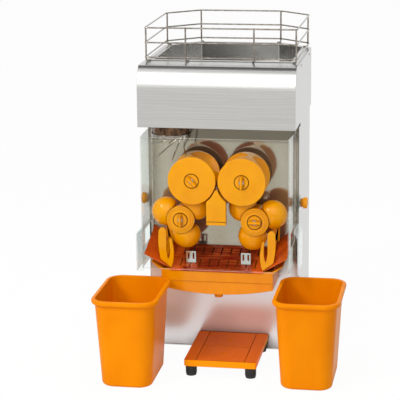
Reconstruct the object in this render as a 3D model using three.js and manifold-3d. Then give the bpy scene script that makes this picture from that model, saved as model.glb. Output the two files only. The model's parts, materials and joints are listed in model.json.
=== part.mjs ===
// A countertop automatic citrus juicer. A stainless cabinet carries an overhanging fruit hopper with
// a wire basket, two cupped drums above two three-dome rotors, a knife, peel ejectors, a strainer over
// a juice tank, a clear cover with peel scoops, two peel bins and a drip tray.
// Millimetres, +Z up, the front faces -Y, and the origin is on the counter under the middle of the cabinet.
import * as THREE from "three";
import { mergeVertices, toCreasedNormals } from "three/addons/utils/BufferGeometryUtils.js";
import Module from "manifold-3d";

const wasm = await Module();
wasm.setup();

// Stock and clearances
const fit = 0.3; // gap left between pieces that seat on each other
const over = 2; // how far a cut runs past the face that it opens
const weld = 1; // how far joined shapes run into each other
const sheet = 1.5; // stainless sheet
const sameCorner = 0.0001; // corners closer than this are one corner

// Cabinet
const bodyWidth = 388;
const bodyDepth = 320;
const bodyHeight = 604; // up to the underside of the hood
const sideDepth = 245; // straight side before the rear corner turns in
const backWidth = 226; // flat back between the two cut corners
const baseThick = 3;
const panelReturn = 16; // folded edges behind the front panel

// Hood over the cabinet, which reaches forward over the drums
const hoodProud = 3; // how far the hood stands out from the cabinet's sides
const hoodHeight = 152;
const hoodReach = 114; // from the front panel to the hood's front
const hoodBend = 92; // height of the upright part of the hood's front
const hoodLean = 18; // how far the top of the front leans back
const hoodEdge = 10; // rounding of the front top edge
const hoodLedge = 15; // floor flange left over the cabinet's walls

// Hopper tray, feed chute and wire guide
const trayMargin = 22; // hood's flat margin round the sides of the tray
const trayFront = 8; // from the front panel to the tray's front wall
const trayLip = 8; // flange that lies on the hood
const feedInset = 72; // feed hole's axis from the cabinet's left side
const feedOut = 60; // in front of the front panel
const feedRadius = 44;
const feedFloor = 50; // height of the tray's floor at the feed hole above the hood's underside
const throatMargin = 5; // from the feed hole to the throat's walls
const trayTiltBack = 6; // degrees
const trayTiltSide = 5; // degrees
const chuteWall = 2;
const chuteDrop = 31; // how far the chute hangs below the hood
const chuteFlange = 6;
const fingerWire = 1.7; // radius
const fingerLength = 84;
const fingerCurl = 20;
const fingerAngles = [196, 222, 246, 268]; // degrees, seen from the front
const fingerLengthShares = [0.86, 0.96, 0.82, 0.56];
const fingerRoots = [22, 32, 42, 52]; // degrees round the sleeve from its front
const sleeveHeight = 10;

// Wire basket
const basketInset = 6; // from the hood's sides to the basket's wires
const basketFront = 35; // in front of the front panel
const railWire = 1.9;
const postWire = 2.2;
const firstRail = 11; // above the hood's top
const railStep = 37;
const railCount = 3;
const frontPostShares = [-0.47, 0.445]; // of the basket's width

// Drums, rotors and their shafts
const gearModule = 6;
const spurTeeth = 21; // gears that couple the two drums
const drumTeeth = 18; // gears that couple each drum to its rotor
const pinionTeeth = 9;
const toothRootShare = 1.25; // of the module, below the pitch circle
const toothTipShare = 0.9; // of the module, above it
const toothFlankShares = [-0.29, -0.13, 0.13, 0.29]; // of a tooth's pitch
const drumDrop = 134; // drums' axes below the hood
const rotorSpread = 94; // rotors' distance from the middle
const drumRadius = 60.5;
const drumLength = 86;
const drumOut = 25; // from the front panel to the drums' rear
const cupCount = 3;
const cupDepth = 52; // half sizes of a cup: along its axis, across it, and along the shaft
const cupAcross = 76;
const cupAlong = 41;
const cupFloor = 24; // least distance from the shaft's axis to a cup
const domeRadius = 36.8;
const domeOffset = 44; // dome's centre from the rotor's axis
const domeSeat = 27; // flat base of each dome from the rotor's axis
const hubRadius = 37;
const hubNeck = 30;
const hubFront = 102; // in front of the front panel
const hubRear = 30;
const ringStep = 1.4; // height of the rings turned in the hub's face
const ringPitch = 6;
const ringCount = 3;
const restTurn = 31.6; // degrees from the nearest dome to full mesh
const shaftRadius = 10;
const boreGap = 0.3;
const spindleRadius = 6; // threaded front end of each shaft, for its lock knob
const spindleLength = 7;
const nutPocket = 19; // radius of the recess round a lock knob
const nutPocketDepth = 3;
const frontWall = 7; // drum's and hub's wall in front of the shaft's shoulder
const knobRadius = 17;
const knobThick = 4;
const knobBar = 9;
const knobBarHeight = 11;

// Gear frame behind the front panel
const plateThick = 8;
const plateInset = 44; // from the cabinet's sides
const plateDrop = 48; // below the hood
const legDrop = 234; // top of the gap between the legs, below the drums' axes
const legWidth = 46;
const gearThick = 13;
const gearGap = 4;
const rearPlateThick = 8;
const rearPlateDrop = 208; // its lower edge, below the drums' axes
const pillarRadius = 9;
const bearingRadius = 19;
const bearingFlange = 25;
const bearingFlangeThick = 4;
const motorRadius = 42;
const motorLength = 96;
const gearheadSize = 92;
const gearheadLength = 40;
const pinionAngle = -52; // degrees, from the left rotor's axis
const pinionShaft = 7;

// Knife
const knifeHalfWidth = 24.5;
const knifeDrop = 109; // heights below the drums' axes: lower edge, shoulder, top
const knifeShoulderDrop = 45;
const knifeTopDrop = 21;
const knifeBand = 8; // height of the stepped band along the lower edge
const knifeOut = 107; // in front of the front panel
const knifeThick = 14;
const spineWidth = 14;
const spineDrop = 66; // lower and upper end below the drums' axes
const spineTopDrop = 30;
const bladeThick = 2;
const bladeDrop = 14; // cutting edge below the drums' axes
const bladeSlot = 22;
const drumGap = 2.5; // between the knife block and the drums

// Peel ejectors
const hornOut = 107;
const hornThick = 8;
const hornInset = 38; // horn's middle from its foot's outer end
const hornWidth = 21;
const hornDrop = 122; // horn's tip below the drums' axes
const tuskWidth = 6;
const tuskDrop = 26; // tusk's tip below the horn's
const tuskGap = 7;
const tuskBow = 9;
const footInset = 18; // foot's outer end from the cover's side
const footThick = 11;
const footGap = 1;
const barWidth = 15;
const barThick = 6;
const rearHornOut = 18;

// Strainer
const strainerInset = 24; // from the tank's ends
const strainerSheet = 1.2;
const strainerFall = 16; // degrees, towards the front
const wingInset = 6; // from the cover's sides
const wingRise = 49;
const wingFlare = 26; // how far a wing's outer corner reaches past the tank's front
const lipDrop = 5;
const slotWide = 3;
const slotLong = 38;
const slotMargin = 11; // from the fold of a wing to the nearest slots
const slotRows = 2;
const slotColumns = 9;
const bracketInset = 48; // from the strainer's ends
const bracketOut = 88;
const bracketWidth = 25;
const bracketHeight = 26;
const bracketSheet = 2;
const bracketFoot = 14;
const bracketSlot = 4;

// Juice tank
const tankInset = 44; // from the cover's sides
const tankFront = 114; // in front of the front panel
const tankDrop = 227; // tank's top below the drums' axes
const tankBand = 31; // from the top to the ledge across the front
const tankEndDepth = 49; // underside at the two ends
const tankBellyDepth = 65; // underside in the middle
const tankWall = 3;
const tankProud = 2; // how far the upper band stands out
const flareWidth = 25;
const flareRise = 17;
const spoutRadius = 11;
const spoutBore = 8;
const spoutLength = 12;

// Clear cover and its peel scoops
const coverInset = 8; // from the cabinet's sides
const coverOut = 149;
const coverFoot = 8; // above the tank's top
const coverHead = 18; // below the hood
const coverWall = 3;
const coverCorner = 9;
const windowSill = 49; // above the cover's lower edge
const windowHeight = 42;
const windowRear = 16; // from the front panel
const windowFront = 112;
const scoopProud = 19;
const scoopDrop = 15; // below the cover's lower edge
const scoopHeight = 111;
const scoopShoulder = 26; // height of the scoop's rounded roof
const scoopMargin = 6;
const scoopWall = 2.5;
const earHeight = 36;
const earLength = 24; // overlap on the cabinet's side
const earJoggle = 12;
const studRise = 28; // from the scoops to the ears' lower edge
const studBack = 12; // behind the front panel's face
const studRadius = 4;
const studHead = 8;
const studHeadThick = 3;
const coverKnobRadius = 14.5;
const coverKnobLength = 17;
const coverKnobWaist = 11;
const coverKnobCap = 5;

// Drip tray
const dripX = 25; // it stands a little to the right of the middle
const dripWidth = 181;
const dripRear = 0.5; // from the front panel
const dripLength = 230;
const dripBottom = 26;
const dripTop = 43;
const dripWall = 3;
const dripCorner = 5;
const lidWidth = 122;
const lidLength = 222;
const lidThick = 3;
const lidSeam = 0.8;
const lidLedge = 4;
const lidSlotLong = 15;
const lidSlotWide = 6;
const dripFootRadius = 14;
const dripFootInset = 16;

// Peel bins
const binWidth = 166;
const binLength = 238;
const binDrop = 13; // rim below the scoops
const binTaperWidth = 12; // on each side, down to the base
const binTaperLength = 13;
const binCorner = 34;
const binWall = 2.5;
const binRim = 8; // rolled rim's overhang
const binRimHeight = 12;
const binFootRound = 8;
const leftBinInset = 1; // bin's middle inside the cabinet's left side
const leftBinOut = 236; // bin's middle in front of the front panel
const rightBinAside = 49; // bin's middle outside the cabinet's right side
const rightBinOut = 192;

// Rear cover, switch and power inlet
const rearCoverWidth = 196;
const rearCoverBottom = 60;
const rearCoverDrop = 44; // below the hood
const rearOverlap = 10;
const louvreCount = 6;
const louvreWidth = 120;
const louvrePitch = 22;
const louvreHigh = 5;
const louvreProud = 6;
const louvreDrop = 180; // lowest louvre below the rear cover's top
const switchX = -46;
const inletX = 34;
const powerHeight = 110;
const rockerWidth = 13;
const rockerHeight = 21;
const rockerThick = 8;
const rockerProud = 3;
const inletWidth = 48;
const inletHeight = 28;
const inletThick = 26;
const inletBezel = 3;
const inletWell = 15;
const inletPin = 2;
const inletPitch = 9.6; // between its three pins

const panelY = -bodyDepth / 2; // face of the front panel
const backY = bodyDepth / 2;
const hoodTop = bodyHeight + hoodHeight;
const halfWidth = bodyWidth / 2;
const feedX = feedInset - halfWidth;
const drumHeight = bodyHeight - drumDrop;
const drumX = (gearModule * spurTeeth) / 2;
const meshDistance = gearModule * drumTeeth; // from a drum's axis to its rotor's
const rotorHeight = drumHeight - Math.sqrt(meshDistance ** 2 - (rotorSpread - drumX) ** 2);
const meshAngle = THREE.MathUtils.radToDeg(Math.atan2(drumHeight - rotorHeight, rotorSpread - drumX));
const plateWidth = bodyWidth - 2 * plateInset;
const plateTop = bodyHeight - plateDrop;
const legHeight = drumHeight - legDrop;
const rearPlateBottom = drumHeight - rearPlateDrop;
const knifeBottom = drumHeight - knifeDrop;
const knifeShoulder = drumHeight - knifeShoulderDrop;
const knifeTop = drumHeight - knifeTopDrop;
const spineBottom = drumHeight - spineDrop;
const spineTop = drumHeight - spineTopDrop;
const bladeTop = drumHeight - bladeDrop;
const coverHalfWidth = halfWidth - coverInset;
const tankHalfWidth = coverHalfWidth - tankInset;
const tankTop = drumHeight - tankDrop;
const tankStep = tankTop - tankBand;
const tankEnd = tankTop - tankEndDepth;
const tankBelly = tankTop - tankBellyDepth;
const strainerHalfWidth = tankHalfWidth - strainerInset;
const wingHalfWidth = coverHalfWidth - wingInset;
const bracketX = strainerHalfWidth - bracketInset;
const footOuter = coverHalfWidth - footInset;
const hornX = footOuter - hornInset;
const hornTop = drumHeight - hornDrop;
const tuskTop = hornTop - tuskDrop;
const coverBottom = tankTop + coverFoot;
const coverTop = bodyHeight - coverHead;
const windowBottom = coverBottom + windowSill;
const windowTop = windowBottom + windowHeight;
const scoopBottom = coverBottom - scoopDrop;
const scoopTop = scoopBottom + scoopHeight;
const studHeight = scoopTop + studRise + earHeight / 2;
const binHeight = scoopBottom - binDrop;
const leftBinX = leftBinInset - halfWidth;
const rightBinX = halfWidth + rightBinAside;
const rearCoverTop = bodyHeight - rearCoverDrop;
const louvreStart = rearCoverTop - louvreDrop;
const frontPlateY = panelY + sheet + fit; // front face of the mounting plate
const gearY = frontPlateY + plateThick + gearGap; // front face of the first gear plane
const rearPlateY = gearY + 2 * gearThick + 2 * gearGap;
const coverGap = fit; // from the cover's rear edges to the front panel

const degrees = THREE.MathUtils.degToRad;

// Materials
function material(color, roughness, metalness, opacity = 1) {
  return new THREE.MeshStandardMaterial({ color, roughness, metalness, opacity, transparent: opacity < 1 });
}
const brushedSteel = material(0xc8c8c4, 0.35, 1);
const polishedSteel = material(0xd4d2ce, 0.12, 1);
const chrome = material(0xdddddd, 0.08, 1);
const darkSteel = material(0x5a4a44, 0.3, 1);
const machinedSteel = material(0x9a9a98, 0.4, 1);
const orangePlastic = material(0xf59c0a, 0.3, 0);
const binPlastic = material(0xf58a0c, 0.35, 0);
const trayPlastic = material(0xd2691a, 0.3, 0);
const clearPlastic = material(0xe8f0f0, 0.05, 0, 0.3);
const blackRubber = material(0x161616, 0.8, 0);
const blackPlastic = material(0x1c1c1c, 0.45, 0);
const paintedMotor = material(0x3a3f44, 0.5, 0.4);

// A solid from corners and triangles, turned to face out.
function fromTriangles(vertProperties, triVerts) {
  const make = (corners) =>
    new wasm.Manifold(new wasm.Mesh({ numProp: 3, vertProperties, triVerts: Uint32Array.from(corners) }));
  const made = make(triVerts);
  return made.volume() < 0 ? make(triVerts.toReversed()) : made;
}

// A closed three.js geometry as a solid that can be joined and cut.
function solid(geometry) {
  const bare = geometry.index ? geometry.toNonIndexed() : geometry.clone();
  bare.deleteAttribute("normal");
  bare.deleteAttribute("uv");
  const merged = mergeVertices(bare, sameCorner);
  const index = Array.from(merged.index.array);
  const kept = [];
  for (let i = 0; i < index.length; i += 3) {
    const [a, b, c] = index.slice(i, i + 3);
    if (a !== b && b !== c && c !== a) kept.push(a, b, c);
  }
  return fromTriangles(merged.attributes.position.array, kept);
}

function join(first, ...others) {
  return others.reduce((sum, other) => sum.add(other), first);
}

function cut(first, ...others) {
  return others.reduce((sum, other) => sum.subtract(other), first);
}

// A named mesh from a solid, with its place in the scene.
function piece(name, made, finish, x = 0, y = 0, z = 0) {
  const data = made.getMesh();
  const geometry = new THREE.BufferGeometry();
  geometry.setAttribute("position", new THREE.BufferAttribute(data.vertProperties, data.numProp));
  geometry.setIndex(new THREE.BufferAttribute(data.triVerts, 1));
  const mesh = new THREE.Mesh(toCreasedNormals(geometry, degrees(30)), finish);
  mesh.name = name;
  mesh.position.set(x, y, z);
  return mesh;
}

function block(xs, ys, zs) {
  const box = new THREE.BoxGeometry(xs[1] - xs[0], ys[1] - ys[0], zs[1] - zs[0]);
  return solid(box.translate((xs[0] + xs[1]) / 2, (ys[0] + ys[1]) / 2, (zs[0] + zs[1]) / 2));
}

const toShape = (outline) => (outline instanceof THREE.Shape ? outline : new THREE.Shape(outline));

// A plan outline (x, y) stood up between two heights.
function standing(outline, bottom, top, curveSegments = 6) {
  const bar = new THREE.ExtrudeGeometry(toShape(outline), {
    depth: top - bottom,
    bevelEnabled: false,
    curveSegments,
  });
  return solid(bar.translate(0, 0, bottom));
}

// A front outline (x, z) run from one y back to another.
function running(outline, front, rear, curveSegments = 8) {
  const bar = new THREE.ExtrudeGeometry(toShape(outline), {
    depth: rear - front,
    bevelEnabled: false,
    curveSegments,
  });
  return solid(bar.rotateX(Math.PI / 2).translate(0, rear, 0));
}

// A side outline (y, z) run across from one x to another.
function spanning(outline, left, right, curveSegments = 8) {
  const bar = new THREE.ExtrudeGeometry(toShape(outline), {
    depth: right - left,
    bevelEnabled: false,
    curveSegments,
  });
  const turn = new THREE.Matrix4().makeBasis(
    new THREE.Vector3(0, 1, 0),
    new THREE.Vector3(0, 0, 1),
    new THREE.Vector3(1, 0, 0),
  );
  return solid(bar.applyMatrix4(turn).translate(left, 0, 0));
}

// A profile of [radius, y] corners turned about the Y axis.
function turned(profile, segments = 14) {
  const corners = profile.map(([radius, y]) => new THREE.Vector2(radius, y));
  return solid(new THREE.LatheGeometry(corners, segments));
}

// A round bar or bore along Y, between two places.
function rod(radius, front, rear, x = 0, z = 0, segments = 14) {
  const bar = new THREE.CylinderGeometry(radius, radius, rear - front, segments);
  return solid(bar.translate(x, (front + rear) / 2, z));
}

// A round bar or bore along Z.
function upright(radius, bottom, top, x = 0, y = 0, segments = 16) {
  const bar = new THREE.CylinderGeometry(radius, radius, top - bottom, segments);
  return solid(bar.rotateX(Math.PI / 2).translate(x, y, (bottom + top) / 2));
}

// A round bar between two points.
function wire(from, to, radius, segments = 5) {
  const length = from.distanceTo(to);
  const bar = new THREE.CylinderGeometry(radius, radius, length, segments);
  const turn = new THREE.Quaternion().setFromUnitVectors(
    new THREE.Vector3(0, 1, 0),
    to.clone().sub(from).normalize(),
  );
  const middle = from.clone().add(to).multiplyScalar(1 / 2);
  return solid(bar.applyQuaternion(turn).translate(middle.x, middle.y, middle.z));
}

// A convex outline's corners, drawn in by a distance on every side.
function inset(corners, distance) {
  return corners.map((corner, i) => {
    const arriving = corner.clone().sub(corners.at(i - 1)).normalize();
    const leaving = corners[(i + 1) % corners.length].clone().sub(corner).normalize();
    const normal = new THREE.Vector2(-arriving.y, arriving.x);
    const middle = normal.clone().add(new THREE.Vector2(-leaving.y, leaving.x)).normalize();
    return corner.clone().addScaledVector(middle, distance / middle.dot(normal));
  });
}

// The cabinet's plan: straight sides and cut rear corners.
function cabinetPlan(front = panelY, proud = 0) {
  const plan = [
    new THREE.Vector2(-bodyWidth / 2, panelY),
    new THREE.Vector2(bodyWidth / 2, panelY),
    new THREE.Vector2(bodyWidth / 2, panelY + sideDepth),
    new THREE.Vector2(backWidth / 2, backY),
    new THREE.Vector2(-backWidth / 2, backY),
    new THREE.Vector2(-bodyWidth / 2, panelY + sideDepth),
  ];
  const grown = inset(plan, -proud);
  grown[0].y = front;
  grown[1].y = front;
  return grown;
}

// A rounded rectangle as a ring of points at one height.
function roundedRing(halfX, halfY, radius, z, steps = 5) {
  const ring = [];
  for (let corner = 0; corner < 4; corner++) {
    const signX = corner === 0 || corner === 3 ? 1 : -1;
    const signY = corner < 2 ? 1 : -1;
    for (let step = 0; step <= steps; step++) {
      const angle = ((corner + step / steps) * Math.PI) / 2;
      ring.push(
        new THREE.Vector3(
          signX * (halfX - radius) + radius * Math.cos(angle),
          signY * (halfY - radius) + radius * Math.sin(angle),
          z,
        ),
      );
    }
  }
  return ring;
}

// Rings of points joined one to the next, with the first and the last closed over.
function lofted(rings) {
  const count = rings[0].length;
  const corners = rings.flat().flatMap((point) => [point.x, point.y, point.z]);
  const faces = [];
  for (let ring = 0; ring < rings.length - 1; ring++) {
    for (let i = 0; i < count; i++) {
      const next = (i + 1) % count;
      const [a, b] = [ring * count + i, ring * count + next];
      faces.push(a, b, b + count, a, b + count, a + count);
    }
  }
  const cap = (ring) =>
    THREE.ShapeUtils.triangulateShape(ring.map((point) => new THREE.Vector2(point.x, point.y)), []);
  for (const [a, b, c] of cap(rings[0])) faces.push(c, b, a);
  const last = (rings.length - 1) * count;
  for (const [a, b, c] of cap(rings.at(-1))) faces.push(last + a, last + b, last + c);
  return fromTriangles(Float32Array.from(corners), faces);
}

// Cabinet pieces
function basePlate() {
  return standing(cabinetPlan(), 0, baseThick);
}

function columnShell() {
  const bottom = baseThick + fit;
  const top = bodyHeight - fit;
  const walls = cut(
    standing(cabinetPlan(), bottom, top),
    standing(inset(cabinetPlan(panelY - over), sheet), bottom - over, top + over),
  );
  const opening = rearCoverWidth / 2 - rearOverlap;
  return cut(
    walls,
    block(
      [-opening, opening],
      [backY - over - sheet, backY + over],
      [rearCoverBottom + rearOverlap, rearCoverTop - rearOverlap],
    ),
    ...[-1, 1].map((side) =>
      block(
        [side * (bodyWidth / 2) - over - sheet, side * (bodyWidth / 2) + over + sheet],
        [panelY + studBack - studRadius - fit, panelY + studBack + studRadius + fit],
        [studHeight - studRadius - fit, studHeight + studRadius + fit],
      ),
    ),
  );
}

function shaftPlaces() {
  return [
    { name: "left_drum", x: -drumX, z: drumHeight },
    { name: "right_drum", x: drumX, z: drumHeight },
    { name: "left_rotor", x: -rotorSpread, z: rotorHeight },
    { name: "right_rotor", x: rotorSpread, z: rotorHeight },
  ];
}

function shaftHoles(radius, front, rear) {
  return shaftPlaces().map(({ x, z }) => rod(radius, front, rear, x, z));
}

function frontPanel() {
  const half = bodyWidth / 2 - sheet - fit;
  const bottom = baseThick + fit;
  const top = bodyHeight - fit;
  const plate = block([-half, half], [panelY, panelY + sheet], [bottom, top]);
  const returns = [-1, 1].map((side) => {
    const edges = [side * half, side * (half - sheet)].sort((a, b) => a - b);
    const fold = block(edges, [panelY + sheet - weld, panelY + panelReturn], [bottom, top]);
    const relief = studRadius + studHead;
    return cut(
      fold,
      block(
        [edges[0] - over, edges[1] + over],
        [panelY + sheet + fit, panelY + panelReturn + over],
        [studHeight - relief, studHeight + relief],
      ),
    );
  });
  const holes = shaftHoles(bearingRadius + boreGap, panelY - over, panelY + sheet + over);
  return cut(join(plate, ...returns), ...holes);
}

function rearCover() {
  const front = backY + fit;
  const rear = front + sheet;
  const half = rearCoverWidth / 2;
  const plate = block([-half, half], [front, rear], [rearCoverBottom, rearCoverTop]);
  const hoods = [];
  const slots = [];
  for (let i = 0; i < louvreCount; i++) {
    const z = louvreStart + i * louvrePitch;
    const outline = [
      new THREE.Vector2(rear - weld, z + louvreHigh + louvreProud),
      new THREE.Vector2(rear - weld, z),
      new THREE.Vector2(rear + louvreProud, z),
      new THREE.Vector2(rear + louvreProud, z + sheet),
    ];
    hoods.push(spanning(outline, -louvreWidth / 2, louvreWidth / 2));
    const hollow = [
      new THREE.Vector2(front - over, z + louvreHigh),
      new THREE.Vector2(front - over, z - over),
      new THREE.Vector2(rear + louvreProud - sheet, z - over),
      new THREE.Vector2(rear + louvreProud - sheet, z + sheet / 2),
      new THREE.Vector2(rear, z + louvreHigh),
    ];
    slots.push(spanning(hollow, -louvreWidth / 2 + sheet, louvreWidth / 2 - sheet));
  }
  const powerHoles = [
    [switchX, rockerWidth, rockerHeight],
    [inletX, inletWidth - 2 * inletBezel, inletHeight - 2 * inletBezel],
  ].map(([x, width, height]) =>
    block(
      [x - width / 2 - fit, x + width / 2 + fit],
      [front - over, rear + over],
      [powerHeight - height / 2 - fit, powerHeight + height / 2 + fit],
    ),
  );
  return cut(join(plate, ...hoods), ...slots, ...powerHoles);
}

// The hood's side profile: an upright front that leans back towards a rounded top edge.
function hoodProfile(wall) {
  const front = panelY - hoodReach + wall;
  const lean = front + hoodLean;
  const top = hoodTop - wall;
  const bend = bodyHeight + hoodBend;
  const shape = new THREE.Shape();
  shape.moveTo(front, bodyHeight + wall);
  shape.lineTo(backY + hoodProud + over, bodyHeight + wall);
  shape.lineTo(backY + hoodProud + over, top);
  shape.lineTo(lean + hoodEdge, top);
  shape.quadraticCurveTo(lean, top, lean - hoodEdge / 4, top - hoodEdge);
  shape.quadraticCurveTo(front, (bend + top) / 2, front, bend);
  shape.closePath();
  return shape;
}

const hoodPlan = () => cabinetPlan(panelY - hoodReach - over, hoodProud);

function trayPlan() {
  return inset(cabinetPlan(panelY - trayFront - trayMargin, hoodProud), trayMargin);
}

function hood() {
  const half = bodyWidth / 2 + hoodProud;
  const upTo = (plan) => standing(plan, bodyHeight - over, hoodTop + over);
  const outer = spanning(hoodProfile(0), -half, half).intersect(upTo(hoodPlan()));
  const hollow = spanning(hoodProfile(sheet), -half + sheet, half - sheet);
  const inner = hollow.intersect(upTo(inset(hoodPlan(), sheet)));
  const floor = [bodyHeight - over, bodyHeight + sheet + over];
  return cut(
    outer,
    inner,
    standing(inset(trayPlan(), -fit), hoodTop - over - sheet, hoodTop + over),
    standing(inset(cabinetPlan(), hoodLedge), ...floor),
    upright(feedRadius + chuteWall + fit, ...floor, feedX, panelY - feedOut),
  );
}

// Everything above the tray's sloping floor, which is lowest at the feed hole.
function aboveSlope(lift) {
  const reach = 2 * (bodyWidth + bodyDepth);
  const slab = new THREE.BoxGeometry(reach, reach, reach).translate(0, 0, reach / 2);
  slab.rotateX(degrees(trayTiltBack)).rotateY(-degrees(trayTiltSide));
  return solid(slab.translate(feedX, panelY - feedOut, bodyHeight + feedFloor + lift));
}

// A sheet well with a flange on the hood, and a throat under the hood's front that leads to the feed hole.
function hopperTray() {
  const rim = hoodTop + fit;
  const plan = trayPlan();
  const wellFront = panelY - trayFront;
  const left = trayMargin - hoodProud - bodyWidth / 2;
  const right = feedX + feedRadius + throatMargin;
  const front = panelY - feedOut - feedRadius - throatMargin;
  const throat = (wall, rear) =>
    block([left + wall, right - wall], [front + wall, rear], [bodyHeight, hoodTop])
      .intersect(spanning(hoodProfile(sheet + fit + wall), left, right))
      .intersect(aboveSlope(wall));
  const outer = join(
    standing(plan, bodyHeight, rim + sheet).intersect(aboveSlope(0)),
    throat(0, wellFront + weld),
    standing(inset(plan, -trayLip), rim, rim + sheet),
  );
  const inner = join(
    standing(inset(plan, sheet), bodyHeight, rim + sheet + over).intersect(aboveSlope(sheet)),
    throat(sheet, wellFront + sheet + weld),
  );
  const holeTop = bodyHeight + feedFloor + feedRadius;
  return cut(outer, inner, upright(feedRadius, bodyHeight, holeTop, feedX, panelY - feedOut));
}

function feedChute() {
  const y = panelY - feedOut;
  const outer = feedRadius + chuteWall;
  const bottom = bodyHeight - chuteDrop;
  const top = bodyHeight + feedFloor + feedRadius;
  const seat = bodyHeight + sheet + fit;
  const tube = join(
    upright(outer, bottom, top, feedX, y),
    upright(outer + chuteFlange, seat, seat + chuteWall, feedX, y),
  );
  return cut(tube, upright(feedRadius, bottom - over, top + over, feedX, y), aboveSlope(-fit));
}

// A sleeve clamped round the chute's mouth, with bent wire fingers that steer fruit to the left drum.
function wireGuide() {
  const inner = feedRadius + chuteWall + fit;
  const outer = inner + 2 * fingerWire;
  const bottom = bodyHeight - chuteDrop - fit;
  const sleeve = cut(
    upright(outer, bottom, bottom + sleeveHeight),
    upright(inner, bottom - over, bottom + sleeveHeight + over),
  );
  const section = new THREE.Shape().absarc(0, 0, fingerWire, 0, 2 * Math.PI);
  const fingers = fingerAngles.map((angle, i) => {
    const length = fingerLength * fingerLengthShares[i];
    const along = new THREE.Vector3(Math.cos(degrees(angle)), 0, Math.sin(degrees(angle)));
    const root = degrees(fingerRoots[i]);
    const start = new THREE.Vector3(outer * Math.sin(root), -outer * Math.cos(root), 0);
    start.z = bottom + sleeveHeight / 2;
    const path = new THREE.CatmullRomCurve3([
      start,
      start.clone().addScaledVector(along, length / 3).add(new THREE.Vector3(0, -fingerCurl / 4, 0)),
      start.clone().addScaledVector(along, (2 * length) / 3),
      start.clone().addScaledVector(along, length).add(new THREE.Vector3(0, fingerCurl, 0)),
    ]);
    const bent = { steps: 5, bevelEnabled: false, extrudePath: path, curveSegments: 3 };
    return solid(new THREE.ExtrudeGeometry(section, bent));
  });
  return join(sleeve, ...fingers);
}

function basket() {
  const bottom = hoodTop + fit;
  const corners = inset(cabinetPlan(panelY - basketFront - basketInset, hoodProud), basketInset);
  const top = hoodTop + firstRail + (railCount - 1) * railStep;
  const pieces = [];
  for (let level = 0; level < railCount; level++) {
    const z = hoodTop + firstRail + level * railStep;
    corners.forEach((corner, i) => {
      const next = corners[(i + 1) % corners.length];
      const ends = [corner, next].map((end) => new THREE.Vector3(end.x, end.y, z));
      pieces.push(wire(...ends, railWire));
    });
  }
  const span = corners[1].x - corners[0].x;
  const middles = frontPostShares.map((share) => new THREE.Vector2((share * span) / 2, corners[0].y));
  for (const post of [...corners, ...middles]) {
    pieces.push(upright(postWire, bottom, top + railWire + fit, post.x, post.y, 5));
  }
  return join(...pieces);
}

// Gears with straight-sided teeth; the first tooth points along the given angle.
function gear(teeth, angle, front, bore = 0) {
  const pitch = (gearModule * teeth) / 2;
  const root = pitch - toothRootShare * gearModule;
  const tip = pitch + toothTipShare * gearModule;
  const shape = new THREE.Shape();
  for (let tooth = 0; tooth < teeth; tooth++) {
    toothFlankShares.forEach((share, i) => {
      const radius = i === 0 || i === 3 ? root : tip;
      const at = degrees(angle) + ((tooth + share) * 2 * Math.PI) / teeth;
      const point = [radius * Math.cos(at), radius * Math.sin(at)];
      if (tooth === 0 && i === 0) shape.moveTo(...point);
      else shape.lineTo(...point);
    });
  }
  shape.closePath();
  const wheel = running(shape, front, front + gearThick);
  return bore > 0 ? cut(wheel, rod(bore, front - over, front + gearThick + over)) : wheel;
}

function gearCluster(side) {
  const spur = gear(spurTeeth, side < 0 ? 0 : 180 + 180 / spurTeeth, gearY, shaftRadius + boreGap);
  const second = gearY + gearThick + gearGap;
  const towardsRotor = side < 0 ? meshAngle + 180 : -meshAngle;
  const drive = gear(drumTeeth, towardsRotor, second, shaftRadius + boreGap);
  const collar = cut(
    rod(2 * shaftRadius, gearY + gearThick - weld, second + weld),
    rod(shaftRadius + boreGap, gearY, second + gearThick),
  );
  return join(spur, drive, collar);
}

function rotorGearAngle(side) {
  const left = meshAngle + 180 / drumTeeth;
  return side < 0 ? left : 180 - left;
}

function rotorGear(side) {
  return gear(drumTeeth, rotorGearAngle(side), gearY + gearThick + gearGap, shaftRadius + boreGap);
}

function pinionPlace() {
  const distance = (gearModule * (drumTeeth + pinionTeeth)) / 2;
  return {
    x: -rotorSpread + distance * Math.cos(degrees(pinionAngle)),
    z: rotorHeight + distance * Math.sin(degrees(pinionAngle)),
  };
}

// The drive pinion and its shaft; its teeth stand in the left rotor gear's gaps.
function drivePinion() {
  const turn = ((pinionAngle - rotorGearAngle(-1)) * drumTeeth) / 360;
  const share = turn - Math.floor(turn);
  const angle = pinionAngle + 180 - ((1 / 2 - share) * 360) / pinionTeeth;
  const front = gearY + gearThick + gearGap;
  const stub = rod(pinionShaft, front + gearThick - weld, rearPlateY + rearPlateThick + gearGap);
  return join(gear(pinionTeeth, angle, front), stub);
}

function mountingPlate() {
  const rear = frontPlateY + plateThick;
  const bottom = baseThick + fit;
  const plate = block([-plateWidth / 2, plateWidth / 2], [frontPlateY, rear], [bottom, plateTop]);
  const legs = block(
    [-plateWidth / 2 + legWidth, plateWidth / 2 - legWidth],
    [frontPlateY - over, rear + over],
    [bottom - over, legHeight],
  );
  return cut(plate, legs, ...shaftHoles(bearingRadius + boreGap, frontPlateY - over, rear + over));
}

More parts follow.
